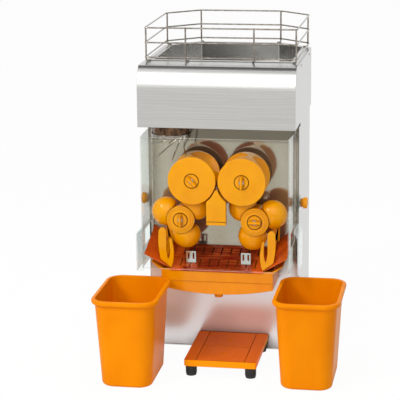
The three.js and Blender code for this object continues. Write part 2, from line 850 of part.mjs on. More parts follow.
function rearBearingPlate() {
  const rear = rearPlateY + rearPlateThick;
  const half = plateWidth / 2;
  const plate = block([-half, half], [rearPlateY, rear], [rearPlateBottom, plateTop]);
  const pillars = [];
  for (const x of [-half + 2 * pillarRadius, half - 2 * pillarRadius]) {
    for (const z of [rearPlateBottom + 2 * pillarRadius, plateTop - 2 * pillarRadius]) {
      pillars.push(rod(pillarRadius, frontPlateY + plateThick + fit, rearPlateY + weld, x, z, 8));
    }
  }
  const pinion = pinionPlace();
  return cut(
    join(plate, ...pillars),
    ...shaftHoles(shaftRadius + boreGap, rearPlateY - over, rear + over),
    rod(pinionShaft + boreGap, rearPlateY - over, rear + over, pinion.x, pinion.z),
  );
}

// A flanged bearing pressed through the panel and the mounting plate.
function frontBearing() {
  const rear = frontPlateY + plateThick;
  const flange = panelY - fit;
  return turned([
    [shaftRadius + boreGap, rear],
    [bearingRadius, rear],
    [bearingRadius, flange],
    [bearingFlange, flange],
    [bearingFlange - sheet, flange - bearingFlangeThick],
    [shaftRadius + boreGap, flange - bearingFlangeThick],
    [shaftRadius + boreGap, rear],
  ]);
}

function gearmotor() {
  const { x, z } = pinionPlace();
  const front = rearPlateY + rearPlateThick + fit;
  const half = gearheadSize / 2;
  const head = block([x - half, x + half], [front, front + gearheadLength], [z - half, z + half]);
  const can = rod(motorRadius, front + gearheadLength - weld, front + gearheadLength + motorLength, x, z, 28);
  return cut(join(head, can), rod(pinionShaft + boreGap, front - over, front + gearGap + over, x, z));
}

// Shafts, drums and rotors stand on their own axes; y stays the machine's own.
function shaft(front) {
  const rear = rearPlateY + rearPlateThick + gearGap;
  const shoulder = front + nutPocketDepth + frontWall + fit;
  const tip = front + nutPocketDepth - spindleLength;
  return turned([
    [0, rear],
    [shaftRadius, rear],
    [shaftRadius, shoulder],
    [spindleRadius, shoulder],
    [spindleRadius, tip],
    [0, tip],
  ]);
}

function shaftBores(front, rear) {
  return [
    rod(shaftRadius + boreGap, front + nutPocketDepth + frontWall, rear + over),
    rod(spindleRadius + boreGap, front - over, rear),
    rod(nutPocket, front - over, front + nutPocketDepth, 0, 0, 16),
  ];
}

const drumFront = panelY - drumOut - drumLength;
const drumRear = panelY - drumOut;
const squeezeY = panelY - drumOut - drumLength / 2; // middle plane of the cups and domes

function cupAngles(side) {
  const first = meshAngle + 180 + restTurn;
  return Array.from({ length: cupCount }, (_, i) => {
    const angle = first + (i * 360) / cupCount;
    return side < 0 ? angle : 180 - angle;
  });
}

function drum(side) {
  const body = turned(
    [
      [0, drumRear],
      [drumRadius - sheet, drumRear],
      [drumRadius, drumRear - sheet],
      [drumRadius, drumFront + sheet],
      [drumRadius - sheet, drumFront],
      [0, drumFront],
    ],
    36,
  );
  const cups = cupAngles(side).map((angle) => {
    const hollow = new THREE.SphereGeometry(1, 14, 8).scale(cupDepth, cupAlong, cupAcross);
    return solid(hollow.translate(cupFloor + cupDepth, squeezeY, 0).rotateY(-degrees(angle)));
  });
  return cut(body, ...cups, ...shaftBores(drumFront, drumRear));
}

function rotor(side) {
  const front = panelY - hubFront;
  const rear = panelY - hubRear;
  const rings = [];
  for (let ring = 0; ring < ringCount; ring++) {
    const radius = hubRadius - ring * ringPitch;
    rings.push([radius, front + (ringCount - ring) * ringStep]);
    rings.push([radius, front + (ringCount - ring - 1) * ringStep]);
  }
  const hub = turned(
    [
      [0, rear],
      [hubNeck, rear],
      [hubNeck, squeezeY],
      [hubRadius, squeezeY - hubNeck / 2],
      ...rings,
      [0, front],
    ],
    18,
  );
  const first = meshAngle - restTurn;
  const reach = 2 * (domeOffset + domeRadius);
  const domes = Array.from({ length: cupCount }, (_, i) => {
    const angle = first + (i * 360) / cupCount;
    const ball = new THREE.SphereGeometry(domeRadius, 12, 8).rotateZ(-Math.PI / 2);
    const seated = solid(ball.translate(domeOffset, squeezeY, 0)).intersect(
      block([domeSeat, reach], [squeezeY - reach, squeezeY + reach], [-reach, reach]),
    );
    return seated.rotate([0, side < 0 ? -angle : angle - 180, 0]);
  });
  return cut(join(hub, ...domes), ...shaftBores(front, rear));
}

// A lock knob with a tapered bar across it, screwed on a shaft's spindle.
function lockKnob() {
  const seat = -fit;
  const top = seat - knobThick - knobBarHeight;
  const disc = turned([
    [0, seat],
    [knobRadius, seat],
    [knobRadius, seat - knobThick + sheet],
    [knobRadius - sheet, seat - knobThick],
    [0, seat - knobThick],
  ]);
  const outline = [
    new THREE.Vector2(-knobBar / 2, seat - knobThick + weld),
    new THREE.Vector2(-knobBar / 4, top),
    new THREE.Vector2(knobBar / 4, top),
    new THREE.Vector2(knobBar / 2, seat - knobThick + weld),
  ];
  const bar = standing(outline, -knobRadius, knobRadius).intersect(rod(knobRadius - sheet, top - over, seat));
  const bore = rod(spindleRadius + boreGap, seat - spindleLength - fit, seat + over, 0, 0, 12);
  return cut(join(disc, bar), bore);
}

// Knife holder: a front block between the drums, on a spine that runs back to the panel.
function knifeHolder() {
  const front = panelY - knifeOut - knifeThick;
  const outline = [
    new THREE.Vector2(-knifeHalfWidth, knifeBottom),
    new THREE.Vector2(knifeHalfWidth, knifeBottom),
    new THREE.Vector2(knifeHalfWidth, knifeTop),
    new THREE.Vector2(-knifeHalfWidth, knifeTop),
  ];
  const plate = running(outline, front, panelY - knifeOut);
  const drums = [-1, 1].map((side) =>
    rod(drumRadius + drumGap, front - over, panelY - knifeOut + over, side * drumX, drumHeight, 48),
  );
  const shoulders = [-1, 1].map((side) => {
    const from = side * (knifeHalfWidth + over);
    const to = side * (knifeHalfWidth - over);
    const xs = [from, to].sort((a, b) => a - b);
    return block(xs, [front - over, panelY - knifeOut + over], [knifeShoulder, knifeTop + over]);
  });
  const spine = block(
    [-spineWidth / 2, spineWidth / 2],
    [panelY - knifeOut - weld, panelY - fit],
    [spineBottom, spineTop],
  );
  const band = block(
    [-knifeHalfWidth - over, knifeHalfWidth + over],
    [front - over, front + sheet],
    [knifeBottom + knifeBand - fit, knifeBottom + knifeBand + sheet],
  );
  const slot = block(
    [-bladeThick / 2 - fit, bladeThick / 2 + fit],
    [panelY - knifeOut - fit, panelY + over],
    [bladeTop - bladeSlot - fit, spineTop + over],
  );
  return cut(join(cut(plate, ...drums, ...shoulders), spine), band, slot);
}

function knifeBlade() {
  const bottom = bladeTop - bladeSlot;
  const outline = [
    new THREE.Vector2(-bladeThick / 2, bottom),
    new THREE.Vector2(bladeThick / 2, bottom),
    new THREE.Vector2(bladeThick / 2, bladeTop - 2 * bladeThick),
    new THREE.Vector2(0, bladeTop),
    new THREE.Vector2(-bladeThick / 2, bladeTop - 2 * bladeThick),
  ];
  return running(outline, panelY - knifeOut, panelY - fit);
}

// Height of the strainer's upper face, at a distance from the middle and from the front panel.
function strainerFace(x, out) {
  const wing = Math.max(0, Math.abs(x) - strainerHalfWidth);
  const slope = Math.tan(degrees(strainerFall));
  const edge = tankTop + fit + strainerSheet / Math.cos(degrees(strainerFall));
  return edge + (tankFront - out) * slope + (wing * wingRise) / (wingHalfWidth - strainerHalfWidth);
}

// One folded section of the floor and the two wings, run back up the slope and trimmed to its plan.
function strainer() {
  const slope = degrees(strainerFall);
  const thick = strainerSheet / Math.cos(slope);
  const outline = [
    new THREE.Vector2(-wingHalfWidth, wingRise - thick),
    new THREE.Vector2(-strainerHalfWidth, -thick),
    new THREE.Vector2(strainerHalfWidth, -thick),
    new THREE.Vector2(wingHalfWidth, wingRise - thick),
    new THREE.Vector2(wingHalfWidth, wingRise),
    new THREE.Vector2(strainerHalfWidth, 0),
    new THREE.Vector2(-strainerHalfWidth, 0),
    new THREE.Vector2(-wingHalfWidth, wingRise),
  ];
  const frontY = panelY - tankFront;
  const shear = new THREE.Matrix4().makeShear(0, 0, 0, Math.tan(slope), 0, 0);
  const bar = new THREE.ExtrudeGeometry(new THREE.Shape(outline), {
    depth: wingFlare + tankFront - fit,
    bevelEnabled: false,
  });
  bar.rotateX(Math.PI / 2).translate(0, tankFront - fit, 0).applyMatrix4(shear);
  const sheetSolid = solid(bar.translate(0, frontY, strainerFace(0, tankFront)));
  const flare = [
    new THREE.Vector2(-wingHalfWidth - over, frontY - wingFlare),
    new THREE.Vector2(-strainerHalfWidth, frontY),
    new THREE.Vector2(strainerHalfWidth, frontY),
    new THREE.Vector2(wingHalfWidth + over, frontY - wingFlare),
    new THREE.Vector2(wingHalfWidth + over, frontY - wingFlare - over),
    new THREE.Vector2(-wingHalfWidth - over, frontY - wingFlare - over),
  ];
  const tall = bodyHeight;
  const slots = [];
  for (let row = 0; row < slotRows; row++) {
    const y = panelY - (tankFront * (row + 1 / 2)) / slotRows;
    for (let column = 0; column < slotColumns; column++) {
      const x = ((column + 1 / 2) / slotColumns - 1 / 2) * 2 * (strainerHalfWidth - slotMargin);
      const across = [x - slotWide / 2, x + slotWide / 2];
      slots.push(block(across, [y - slotLong / 2, y + slotLong / 2], [0, tall]));
    }
  }
  const face = strainerFace(0, tankFront);
  const lip = block(
    [-strainerHalfWidth, strainerHalfWidth],
    [frontY - strainerSheet - fit, frontY - fit + weld],
    [face - thick - fit - lipDrop, face],
  );
  const behind = block(
    [-strainerHalfWidth - over, strainerHalfWidth + over],
    [frontY - fit, frontY + over],
    [0, face - thick],
  );
  return join(cut(sheetSolid, standing(flare, 0, tall), ...slots), cut(lip, behind));
}

// A slotted steel guide that stands on the strainer under a rotor's inner side.
function bracket(side) {
  const x = side * bracketX;
  const y = panelY - bracketOut;
  const foot = strainerFace(x, bracketOut + bracketFoot / 2) + fit;
  const floor = strainerFace(x, bracketOut - bracketFoot) + fit;
  const half = bracketWidth / 2;
  const wall = block([x - half, x + half], [y, y + bracketSheet], [foot, floor + bracketHeight]);
  const slope = Math.tan(degrees(strainerFall));
  const front = strainerFace(x, bracketOut) + fit;
  const sole = [
    new THREE.Vector2(y, front),
    new THREE.Vector2(y + bracketFoot, front + bracketFoot * slope),
    new THREE.Vector2(y + bracketFoot, front + bracketFoot * slope + bracketSheet),
    new THREE.Vector2(y, front + bracketSheet),
  ];
  const slots = [-1, 1].map((step) => {
    const middle = x + (step * bracketWidth) / 4;
    return block(
      [middle - bracketSlot / 2, middle + bracketSlot / 2],
      [y - over, y + bracketSheet + over],
      [floor + bracketSlot + bracketSheet, floor + bracketHeight - bracketSlot],
    );
  });
  const under = block(
    [x - half - over, x + half + over],
    [y - over, y + bracketSheet],
    [0, strainerFace(x, bracketOut - bracketSheet) + fit],
  );
  return cut(join(wall, spanning(sole, x - half, x + half)), under, ...slots);
}

// An ejector: a horn and a tusk before the domes, and a bar back to a second horn and the panel.
function ejector(side) {
  const seat = (u, out) => strainerFace(u, out) + footGap;
  const front = hornOut;
  const inner = hornX - hornWidth / 2;
  const outer = hornX + hornWidth / 2;
  const round = hornWidth / 2;
  const tuskOuter = inner - tuskGap;
  const shape = new THREE.Shape();
  shape.moveTo(tuskOuter + tuskWidth / 2, seat(tuskOuter, front));
  shape.lineTo(strainerHalfWidth, seat(strainerHalfWidth, front));
  shape.lineTo(footOuter, seat(footOuter, front));
  shape.lineTo(footOuter, seat(footOuter, front) + footThick);
  shape.lineTo(outer + round, seat(outer, front) + 2 * footThick);
  shape.quadraticCurveTo(outer, seat(outer, front) + 2 * footThick + round, outer, hornTop - 3 * round);
  shape.lineTo(outer, hornTop - round);
  shape.absarc(hornX, hornTop - round, round, 0, Math.PI, false);
  shape.lineTo(inner, seat(inner, front) + 2 * footThick);
  shape.quadraticCurveTo(tuskOuter - tuskBow / 2, (tankTop + tuskTop) / 2, tuskOuter, tuskTop);
  shape.lineTo(tuskOuter - tuskWidth / 2, tuskTop);
  shape.quadraticCurveTo(
    tuskOuter - tuskBow - tuskWidth,
    (tankTop + tuskTop) / 2,
    tuskOuter - tuskWidth / 2,
    seat(tuskOuter, front) + footThick,
  );
  shape.closePath();
  const plate = running(shape, panelY - front - hornThick, panelY - front, 5);
  const rear = new THREE.Shape();
  const rearSeat = seat(footOuter, rearHornOut) + footThick;
  rear.moveTo(inner, rearSeat);
  rear.lineTo(footOuter, rearSeat);
  rear.lineTo(footOuter, rearSeat + footThick);
  rear.lineTo(outer, rearSeat + 2 * footThick);
  rear.lineTo(outer, hornTop - round);
  rear.absarc(hornX, hornTop - round, round, 0, Math.PI, false);
  rear.closePath();
  const rearPlate = running(rear, panelY - rearHornOut, panelY - rearHornOut + hornThick, 5);
  const slope = Math.tan(degrees(strainerFall));
  const lift = seat(footOuter, front);
  const bar = [
    new THREE.Vector2(panelY - front - weld, lift),
    new THREE.Vector2(panelY - fit, lift + (front + weld - fit) * slope),
    new THREE.Vector2(panelY - fit, lift + (front + weld - fit) * slope + footThick),
    new THREE.Vector2(panelY - rearHornOut, rearSeat + weld),
    new THREE.Vector2(panelY - front - weld, lift + barThick),
  ];
  const made = join(plate, rearPlate, spanning(bar, footOuter - barWidth, footOuter));
  return side > 0 ? made : made.mirror([1, 0, 0]);
}

// The tank's front outline at a wall's depth inside: straight ends and a bowed underside.
function tankOutline(wall, half) {
  const shape = new THREE.Shape();
  const end = tankEnd + wall;
  const belly = tankBelly + wall;
  const x = half - wall;
  shape.moveTo(-x, end);
  shape.quadraticCurveTo(0, 2 * belly - end, x, end);
  shape.lineTo(x, tankTop + (wall > 0 ? over : 0));
  shape.lineTo(-x, tankTop + (wall > 0 ? over : 0));
  shape.closePath();
  return shape;
}

function juiceTank() {
  const front = panelY - tankFront;
  const rear = panelY - fit;
  const body = running(tankOutline(0, tankHalfWidth), front + tankProud, rear, 10);
  const band = block([-tankHalfWidth, tankHalfWidth], [front, front + tankProud + weld], [tankStep, tankTop]);
  const flares = [-1, 1].map((side) => {
    const outline = [
      new THREE.Vector2(side * (tankHalfWidth - tankWall), tankTop - tankWall),
      new THREE.Vector2(side * tankHalfWidth, tankTop - 2 * tankWall),
      new THREE.Vector2(side * (tankHalfWidth + flareWidth), tankTop + flareRise - tankWall),
      new THREE.Vector2(side * (tankHalfWidth + flareWidth), tankTop + flareRise),
      new THREE.Vector2(side * (tankHalfWidth - tankWall), tankTop),
    ];
    return running(side < 0 ? outline.reverse() : outline, front, rear);
  });
  const inside = front + tankProud + tankWall;
  const hollow = running(tankOutline(tankWall, tankHalfWidth), inside, rear - tankWall, 10);
  const spoutY = inside + 2 * spoutRadius;
  const tip = tankBelly - spoutLength;
  const spout = upright(spoutRadius, tip, tankBelly + tankWall, 0, spoutY);
  const bore = upright(spoutBore, tip - over, tankBelly + tankWall + over, 0, spoutY);
  return cut(join(body, band, ...flares, spout), hollow, bore);
}

// The cover's plan at a wall's depth inside: a U with rounded front corners, open at the rear.
function coverPlan() {
  const rear = panelY - coverGap;
  const front = panelY - coverOut;
  const inner = coverCorner - coverWall;
  const shape = new THREE.Shape();
  const cornerX = coverHalfWidth - coverCorner;
  shape.moveTo(coverHalfWidth, rear);
  shape.lineTo(coverHalfWidth - coverWall, rear);
  shape.lineTo(coverHalfWidth - coverWall, front + coverCorner);
  shape.absarc(cornerX, front + coverCorner, inner, 0, -Math.PI / 2, true);
  shape.lineTo(-cornerX, front + coverWall);
  shape.absarc(-cornerX, front + coverCorner, inner, -Math.PI / 2, -Math.PI, true);
  shape.lineTo(-coverHalfWidth + coverWall, rear);
  shape.lineTo(-coverHalfWidth, rear);
  shape.lineTo(-coverHalfWidth, front + coverCorner);
  shape.absarc(-cornerX, front + coverCorner, coverCorner, Math.PI, 1.5 * Math.PI, false);
  shape.lineTo(cornerX, front);
  shape.absarc(cornerX, front + coverCorner, coverCorner, -Math.PI / 2, 0, false);
  shape.closePath();
  return shape;
}

// An ear steps out from the cover's side and laps the cabinet; its slot opens rearward for the stud.
function coverEar(side) {
  const inner = bodyWidth / 2 + fit;
  const rear = panelY + earLength;
  const start = panelY - coverGap - earJoggle;
  const outline = [
    new THREE.Vector2(side * (coverHalfWidth - weld), start - earJoggle),
    new THREE.Vector2(side * coverHalfWidth, start - earJoggle),
    new THREE.Vector2(side * (inner + coverWall), start),
    new THREE.Vector2(side * (inner + coverWall), rear),
    new THREE.Vector2(side * inner, rear),
    new THREE.Vector2(side * inner, start + earJoggle / 2),
    new THREE.Vector2(side * (coverHalfWidth - weld), start),
  ];
  const half = earHeight / 2;
  const made = standing(side < 0 ? outline.reverse() : outline, studHeight - half, studHeight + half);
  const xs = [side * (inner - over), side * (inner + coverWall + over)].sort((a, b) => a - b);
  const slot = block(
    xs,
    [panelY + studBack - studRadius - fit, rear + over],
    [studHeight - studRadius - fit, studHeight + studRadius + fit],
  );
  return cut(made, slot);
}

function frontCover() {
  const reach = coverHalfWidth + over;
  const windows = block(
    [-reach, reach],
    [panelY - windowFront, panelY - windowRear],
    [windowBottom, windowTop],
  );
  return join(cut(standing(coverPlan(), coverBottom, coverTop), windows), coverEar(-1), coverEar(1));
}

function scoop(side) {
  const wall = coverHalfWidth + fit;
  const outer = coverHalfWidth + scoopProud;
  const profile = (thick, bottom) => {
    const shape = new THREE.Shape();
    const inner = wall - (thick > 0 ? over : 0);
    shape.moveTo(inner, bottom);
    shape.lineTo(outer - thick, bottom);
    shape.lineTo(outer - thick, scoopTop - scoopShoulder);
    shape.quadraticCurveTo(outer - thick, scoopTop - thick, inner, scoopTop - thick);
    shape.closePath();
    return shape;
  };
  const front = panelY - windowFront - scoopMargin;
  const rear = panelY - windowRear + scoopMargin;
  const made = cut(
    running(profile(0, scoopBottom), front, rear, 8),
    running(profile(scoopWall, scoopBottom - over), front + scoopWall, rear - scoopWall, 8),
  );
  return side > 0 ? made : made.mirror([1, 0, 0]);
}

// Studs and knobs lie along X; they are turned about Y here and laid over when placed.
function coverStud() {
  const inner = -sheet - fit;
  const outer = coverWall + 2 * fit + coverKnobLength - coverKnobCap;
  return turned([
    [0, inner - studHeadThick],
    [studHead, inner - studHeadThick],
    [studHead, inner],
    [studRadius, inner],
    [studRadius, outer],
    [0, outer],
  ]);
}

function coverKnob() {
  const start = coverWall + 2 * fit;
  const end = start + coverKnobLength;
  const bore = studRadius + boreGap;
  return turned([
    [bore, start],
    [coverKnobWaist, start],
    [coverKnobWaist, start + coverKnobCap],
    [coverKnobRadius, start + coverKnobCap + sheet],
    [coverKnobRadius, end - sheet],
    [coverKnobRadius - sheet, end],
    [0, end],
    [0, end - coverKnobCap + fit],
    [bore, end - coverKnobCap + fit],
    [bore, start],
  ]);
}

// Drip tray: a shallow box with two lift-out lids flush in its deck, on four round feet.
function dripTray() {
  const half = dripWidth / 2;
  const ring = (grow, z) => roundedRing(half + grow, dripLength / 2 + grow, dripCorner + grow, z, 3);
  const lower = -sheet;
  const body = lofted([ring(lower, dripBottom), ring(0, dripBottom - lower), ring(0, dripTop)]);
  const well = block(
    [-half + 2 * dripWall, half - 2 * dripWall],
    [-dripLength / 2 + 2 * dripWall, dripLength / 2 - 2 * dripWall],
    [dripBottom + dripWall, dripTop - lidThick - dripWall],
  );
  const rest = block(
    [-lidWidth / 2 - fit, lidWidth / 2 + fit],
    [-lidLength / 2 - fit, lidLength / 2 + fit],
    [dripTop - lidThick, dripTop + over],
  );
  const hole = block(
    [-lidWidth / 2 + lidLedge, lidWidth / 2 - lidLedge],
    [-lidLength / 2 + lidLedge, lidLength / 2 - lidLedge],
    [dripTop - 2 * dripWall - over, dripTop + over],
  );
  return cut(body, well, rest, hole);
}

function dripLid() {
  const length = (lidLength - lidSeam) / 2;
  const bottom = dripTop - lidThick + fit;
  const plate = block([-lidWidth / 2, lidWidth / 2], [-length / 2, length / 2], [bottom, dripTop]);
  const half = (lidSlotLong - lidSlotWide) / 2;
  const slot = join(
    upright(lidSlotWide / 2, bottom - over, dripTop + over, -half, 0, 8),
    upright(lidSlotWide / 2, bottom - over, dripTop + over, half, 0, 8),
    block([-half, half], [-lidSlotWide / 2, lidSlotWide / 2], [bottom - over, dripTop + over]),
  );
  return cut(plate, slot);
}

const dripFoot = () =>
  solid(
    new THREE.CylinderGeometry(dripFootRadius, dripFootRadius - sheet, dripBottom - fit, 16)
      .rotateX(Math.PI / 2)
      .translate(0, 0, (dripBottom - fit) / 2),
  );

// A tapered bin with a rolled rim.
function bin() {
  const ring = (shareDown, grow, z) =>
    roundedRing(
      binWidth / 2 - binRim - shareDown * binTaperWidth + grow,
      binLength / 2 - binRim - shareDown * binTaperLength + grow,
      binCorner + grow,
      z,
      3,
    );
  const at = (z) => 1 - z / binHeight;
  return lofted([
    ring(1, -binFootRound, 0),
    ring(at(binFootRound / 4), -binFootRound / 4, binFootRound / 4),
    ring(at(binFootRound), 0, binFootRound),
    ring(at(binHeight - binRimHeight), 0, binHeight - binRimHeight),
    ring(0, binRim, binHeight - binRimHeight),
    ring(0, binRim, binHeight - binRimHeight / 3),
    ring(0, binRim / 2, binHeight),
    ring(0, -binWall / 2, binHeight),
    ring(0, -binWall, binHeight - binRimHeight / 3),
    ring(at(binFootRound), -binWall, binFootRound),
    ring(1, -binFootRound, binWall),
  ]);
}

function rocker() {
  const front = backY + fit - rockerThick;
  const rear = backY + fit + sheet + rockerProud;
  const half = rockerHeight / 2 - fit;
  const outline = [
    new THREE.Vector2(front, -half / 2),
    new THREE.Vector2(rear, -half),
    new THREE.Vector2(rear - rockerProud / 2, 0),
    new THREE.Vector2(rear, half),
    new THREE.Vector2(front, half / 2),
  ];
  return spanning(outline, -rockerWidth / 2 + fit, rockerWidth / 2 - fit);
}

function powerInlet() {
  const face = backY + 2 * fit + sheet;
  const rear = face + inletBezel;
  const front = rear - inletThick;
  const half = inletWidth / 2;
  const tall = inletHeight / 2;
  const bezel = block([-half, half], [face, rear], [-tall, tall]);
  const rim = inletBezel + fit;
  const body = block([-half + rim, half - rim], [front, face + weld], [-tall + rim, tall - rim]);
  const well = block(
    [-half + 2 * inletBezel + fit, half - 2 * inletBezel - fit],
    [rear - inletWell, rear + over],
    [-tall + 2 * inletBezel, tall - 2 * inletBezel],
  );
  const pins = [-1, 0, 1].map((place) => {
    const x = place * inletPitch;
    const across = [x - inletPin / 2, x + inletPin / 2];
    return block(across, [rear - inletWell - weld, rear - inletBezel], [-inletPin, inletPin]);
  });
  return join(cut(join(bezel, body), well), ...pins);
}

// The whole juicer, group by group
const juicer = new THREE.Group();

const cabinet = new THREE.Group();
cabinet.add(
  piece("base_plate", basePlate(), brushedSteel),
  piece("column_shell", columnShell(), brushedSteel),
  piece("front_panel", frontPanel(), polishedSteel),
  piece("rear_cover", rearCover(), brushedSteel),
  piece("hood", hood(), brushedSteel),
  piece("hopper_tray", hopperTray(), polishedSteel),
  piece("feed_chute", feedChute(), darkSteel),
  piece("wire_guide", wireGuide(), chrome, feedX, panelY - feedOut, 0),
  piece("basket", basket(), chrome),
);
juicer.add(cabinet);

const drive = new THREE.Group();
drive.add(
  piece("mounting_plate", mountingPlate(), machinedSteel),
  piece("rear_bearing_plate", rearBearingPlate(), machinedSteel),
  piece("gearmotor", gearmotor(), paintedMotor),
);
for (const { name, x, z } of shaftPlaces()) {
  const isDrum = name.endsWith("drum");
  const front = isDrum ? drumFront : panelY - hubFront;
  drive.add(
    piece(name + "_bearing", frontBearing(), machinedSteel, x, 0, z),
    piece(name + "_shaft", shaft(front), polishedSteel, x, 0, z),
    piece(name + "_gear", isDrum ? gearCluster(x) : rotorGear(x), machinedSteel, x, 0, z),
  );
}
const pinion = pinionPlace();
drive.add(piece("drive_pinion", drivePinion(), machinedSteel, pinion.x, 0, pinion.z));
juicer.add(drive);

const squeezer = new THREE.Group();
const knobTurns = { left_drum: 45, right_drum: 0, left_rotor: 0, right_rotor: 90 }; // degrees from upright
for (const { name, x, z } of shaftPlaces()) {
  const isDrum = name.endsWith("drum");
  const front = isDrum ? drumFront : panelY - hubFront;
  squeezer.add(piece(name, isDrum ? drum(x) : rotor(x), orangePlastic, x, 0, z));
  const knob = piece(name + "_knob", lockKnob(), orangePlastic, x, front + nutPocketDepth, z);
  knob.rotation.y = -degrees(knobTurns[name]);
  squeezer.add(knob);
}
squeezer.add(
  piece("knife_holder", knifeHolder(), orangePlastic),
  piece("knife_blade", knifeBlade(), polishedSteel),
);
juicer.add(squeezer);

const collecting = new THREE.Group();
collecting.add(piece("strainer", strainer(), polishedSteel), piece("juice_tank", juiceTank(), orangePlastic));
for (const [name, side] of [["left", -1], ["right", 1]]) {
  collecting.add(
    piece(name + "_ejector", ejector(side), orangePlastic),
    piece(name + "_bracket", bracket(side), polishedSteel),
  );
}
juicer.add(collecting);

const cover = new THREE.Group();
cover.add(piece("front_cover", frontCover(), clearPlastic));
for (const [name, side] of [["left", -1], ["right", 1]]) {
  cover.add(piece(name + "_scoop", scoop(side), clearPlastic));
  const x = (side * bodyWidth) / 2;
  const stud = piece(name + "_cover_stud", coverStud(), machinedSteel, x, panelY + studBack, studHeight);
  const knob = piece(name + "_cover_knob", coverKnob(), orangePlastic, x, panelY + studBack, studHeight);
  for (const laid of [stud, knob]) {
    laid.rotation.z = (-side * Math.PI) / 2;
    cover.add(laid);
  }
}
juicer.add(cover);

const drip = new THREE.Group();
drip.position.set(dripX, panelY - dripRear - dripLength / 2, 0);
drip.add(piece("drip_tray", dripTray(), trayPlastic));
for (const [name, side] of [["front_lid", -1], ["rear_lid", 1]]) {
  drip.add(piece(name, dripLid(), trayPlastic, 0, (side * (lidLength + lidSeam)) / 4, 0));
}
for (const [sideName, signX] of [["left", -1], ["right", 1]]) {
  for (const [endName, signY] of [["front", -1], ["rear", 1]]) {
    const x = signX * (dripWidth / 2 - dripFootInset);
    const y = signY * (dripLength / 2 - dripFootInset);
    drip.add(piece(sideName + "_" + endName + "_foot", dripFoot(), blackRubber, x, y, 0));
  }
}
juicer.add(drip);

juicer.add(
  piece("left_bin", bin(), binPlastic, leftBinX, panelY - leftBinOut, 0),
  piece("right_bin", bin(), binPlastic, rightBinX, panelY - rightBinOut, 0),
);

const rocking = piece("power_switch", rocker(), blackPlastic, switchX, 0, powerHeight);
juicer.add(rocking, piece("power_inlet", powerInlet(), blackPlastic, inletX, 0, powerHeight));

export default juicer;
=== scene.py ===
# %% [markdown]
# A countertop automatic citrus juicer, dressed on its CAD frame. The frame holds every solid of the
# machine in metres, with the front towards -Y. Flat sheet and moulded pieces keep the shape they have
# there and get softened edges; round pieces are turned again with many more sides; wires are drawn as
# curves. Every piece then gets a finish named for what the real one is made of.

import json
import math

import bmesh
import bpy
from mathutils import Matrix, Vector
from mathutils.bvhtree import BVHTree

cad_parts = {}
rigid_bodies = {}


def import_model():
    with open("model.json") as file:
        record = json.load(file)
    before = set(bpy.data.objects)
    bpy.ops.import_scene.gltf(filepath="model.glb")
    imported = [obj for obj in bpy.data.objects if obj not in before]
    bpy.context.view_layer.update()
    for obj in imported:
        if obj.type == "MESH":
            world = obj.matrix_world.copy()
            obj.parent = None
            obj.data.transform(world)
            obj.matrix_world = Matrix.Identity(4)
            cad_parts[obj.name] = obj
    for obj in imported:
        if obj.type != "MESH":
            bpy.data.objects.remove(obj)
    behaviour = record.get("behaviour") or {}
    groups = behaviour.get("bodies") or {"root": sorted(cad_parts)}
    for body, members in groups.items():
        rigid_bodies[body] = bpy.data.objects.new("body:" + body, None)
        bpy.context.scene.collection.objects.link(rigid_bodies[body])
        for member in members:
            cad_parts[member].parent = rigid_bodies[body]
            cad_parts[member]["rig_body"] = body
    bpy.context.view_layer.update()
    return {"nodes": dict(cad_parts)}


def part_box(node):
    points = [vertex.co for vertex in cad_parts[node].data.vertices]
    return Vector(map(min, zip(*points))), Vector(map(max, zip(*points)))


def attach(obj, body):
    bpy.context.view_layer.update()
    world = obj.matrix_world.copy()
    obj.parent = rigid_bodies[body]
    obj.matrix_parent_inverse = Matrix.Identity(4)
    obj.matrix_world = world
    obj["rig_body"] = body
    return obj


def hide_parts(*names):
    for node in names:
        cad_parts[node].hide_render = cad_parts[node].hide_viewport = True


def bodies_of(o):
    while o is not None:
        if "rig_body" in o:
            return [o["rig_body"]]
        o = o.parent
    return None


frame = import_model()
mm = 0.001

# %% [markdown]
# The camera stands where the photograph was taken from: about four metres away, a little to the right
# of the machine and 1.4 m up, with a long lens, so that the upright edges stay nearly parallel. Its
# place and turn were fitted to the cabinet's corners, the basket's rails and the drums' axes.

# %% The camera
camera_place = Vector((0.6341, -4.1116, 1.3956))
turned_left = math.radians(9.978)
tilted_down = math.radians(14.011)
rolled = math.radians(-0.571)
camera_data = bpy.data.cameras.new("photo_camera")
camera_data.sensor_width = 36
camera_data.lens = 145.15
camera = bpy.data.objects.new("photo_camera", camera_data)
bpy.context.scene.collection.objects.link(camera)
camera.matrix_world = (
    Matrix.Translation(camera_place)
    @ Matrix.Rotation(turned_left, 4, "Z")
    @ Matrix.Rotation(math.pi / 2 - tilted_down, 4, "X")
    @ Matrix.Rotation(rolled, 4, "Z")
)
bpy.context.scene.camera = camera
bpy.context.scene.view_settings.view_transform = "Standard"
print("camera:", [round(value, 2) for value in camera_place], "lens", camera_data.lens)

# %% [markdown]
# A finish is a small network of nodes. One function turns a paint-chart colour (sRGB hex) into the
# linear numbers that light is added up in. One links nodes, and one adds a node with its settings and
# its links, which is all that the finishes below are made of.


# %% Colours and nodes
def srgb(colour):
    """An sRGB hex colour as linear red, green, blue and alpha."""
    shares = [int(colour[at : at + 2], 16) / 255 for at in (1, 3, 5)]
    return (*[s / 12.92 if s <= 0.04045 else ((s + 0.055) / 1.055) ** 2.4 for s in shares], 1.0)


def link(owner, node, **sources):
    """Links sockets, or nodes by their first output, into a node's inputs: by name, or number as i0."""
    for name, source in sources.items():
        socket = source.outputs[0] if hasattr(source, "outputs") else source
        key = int(name[1:]) if name in ("i0", "i1", "i2") else name.replace("_", " ")
        owner.node_tree.links.new(socket, node.inputs[key])


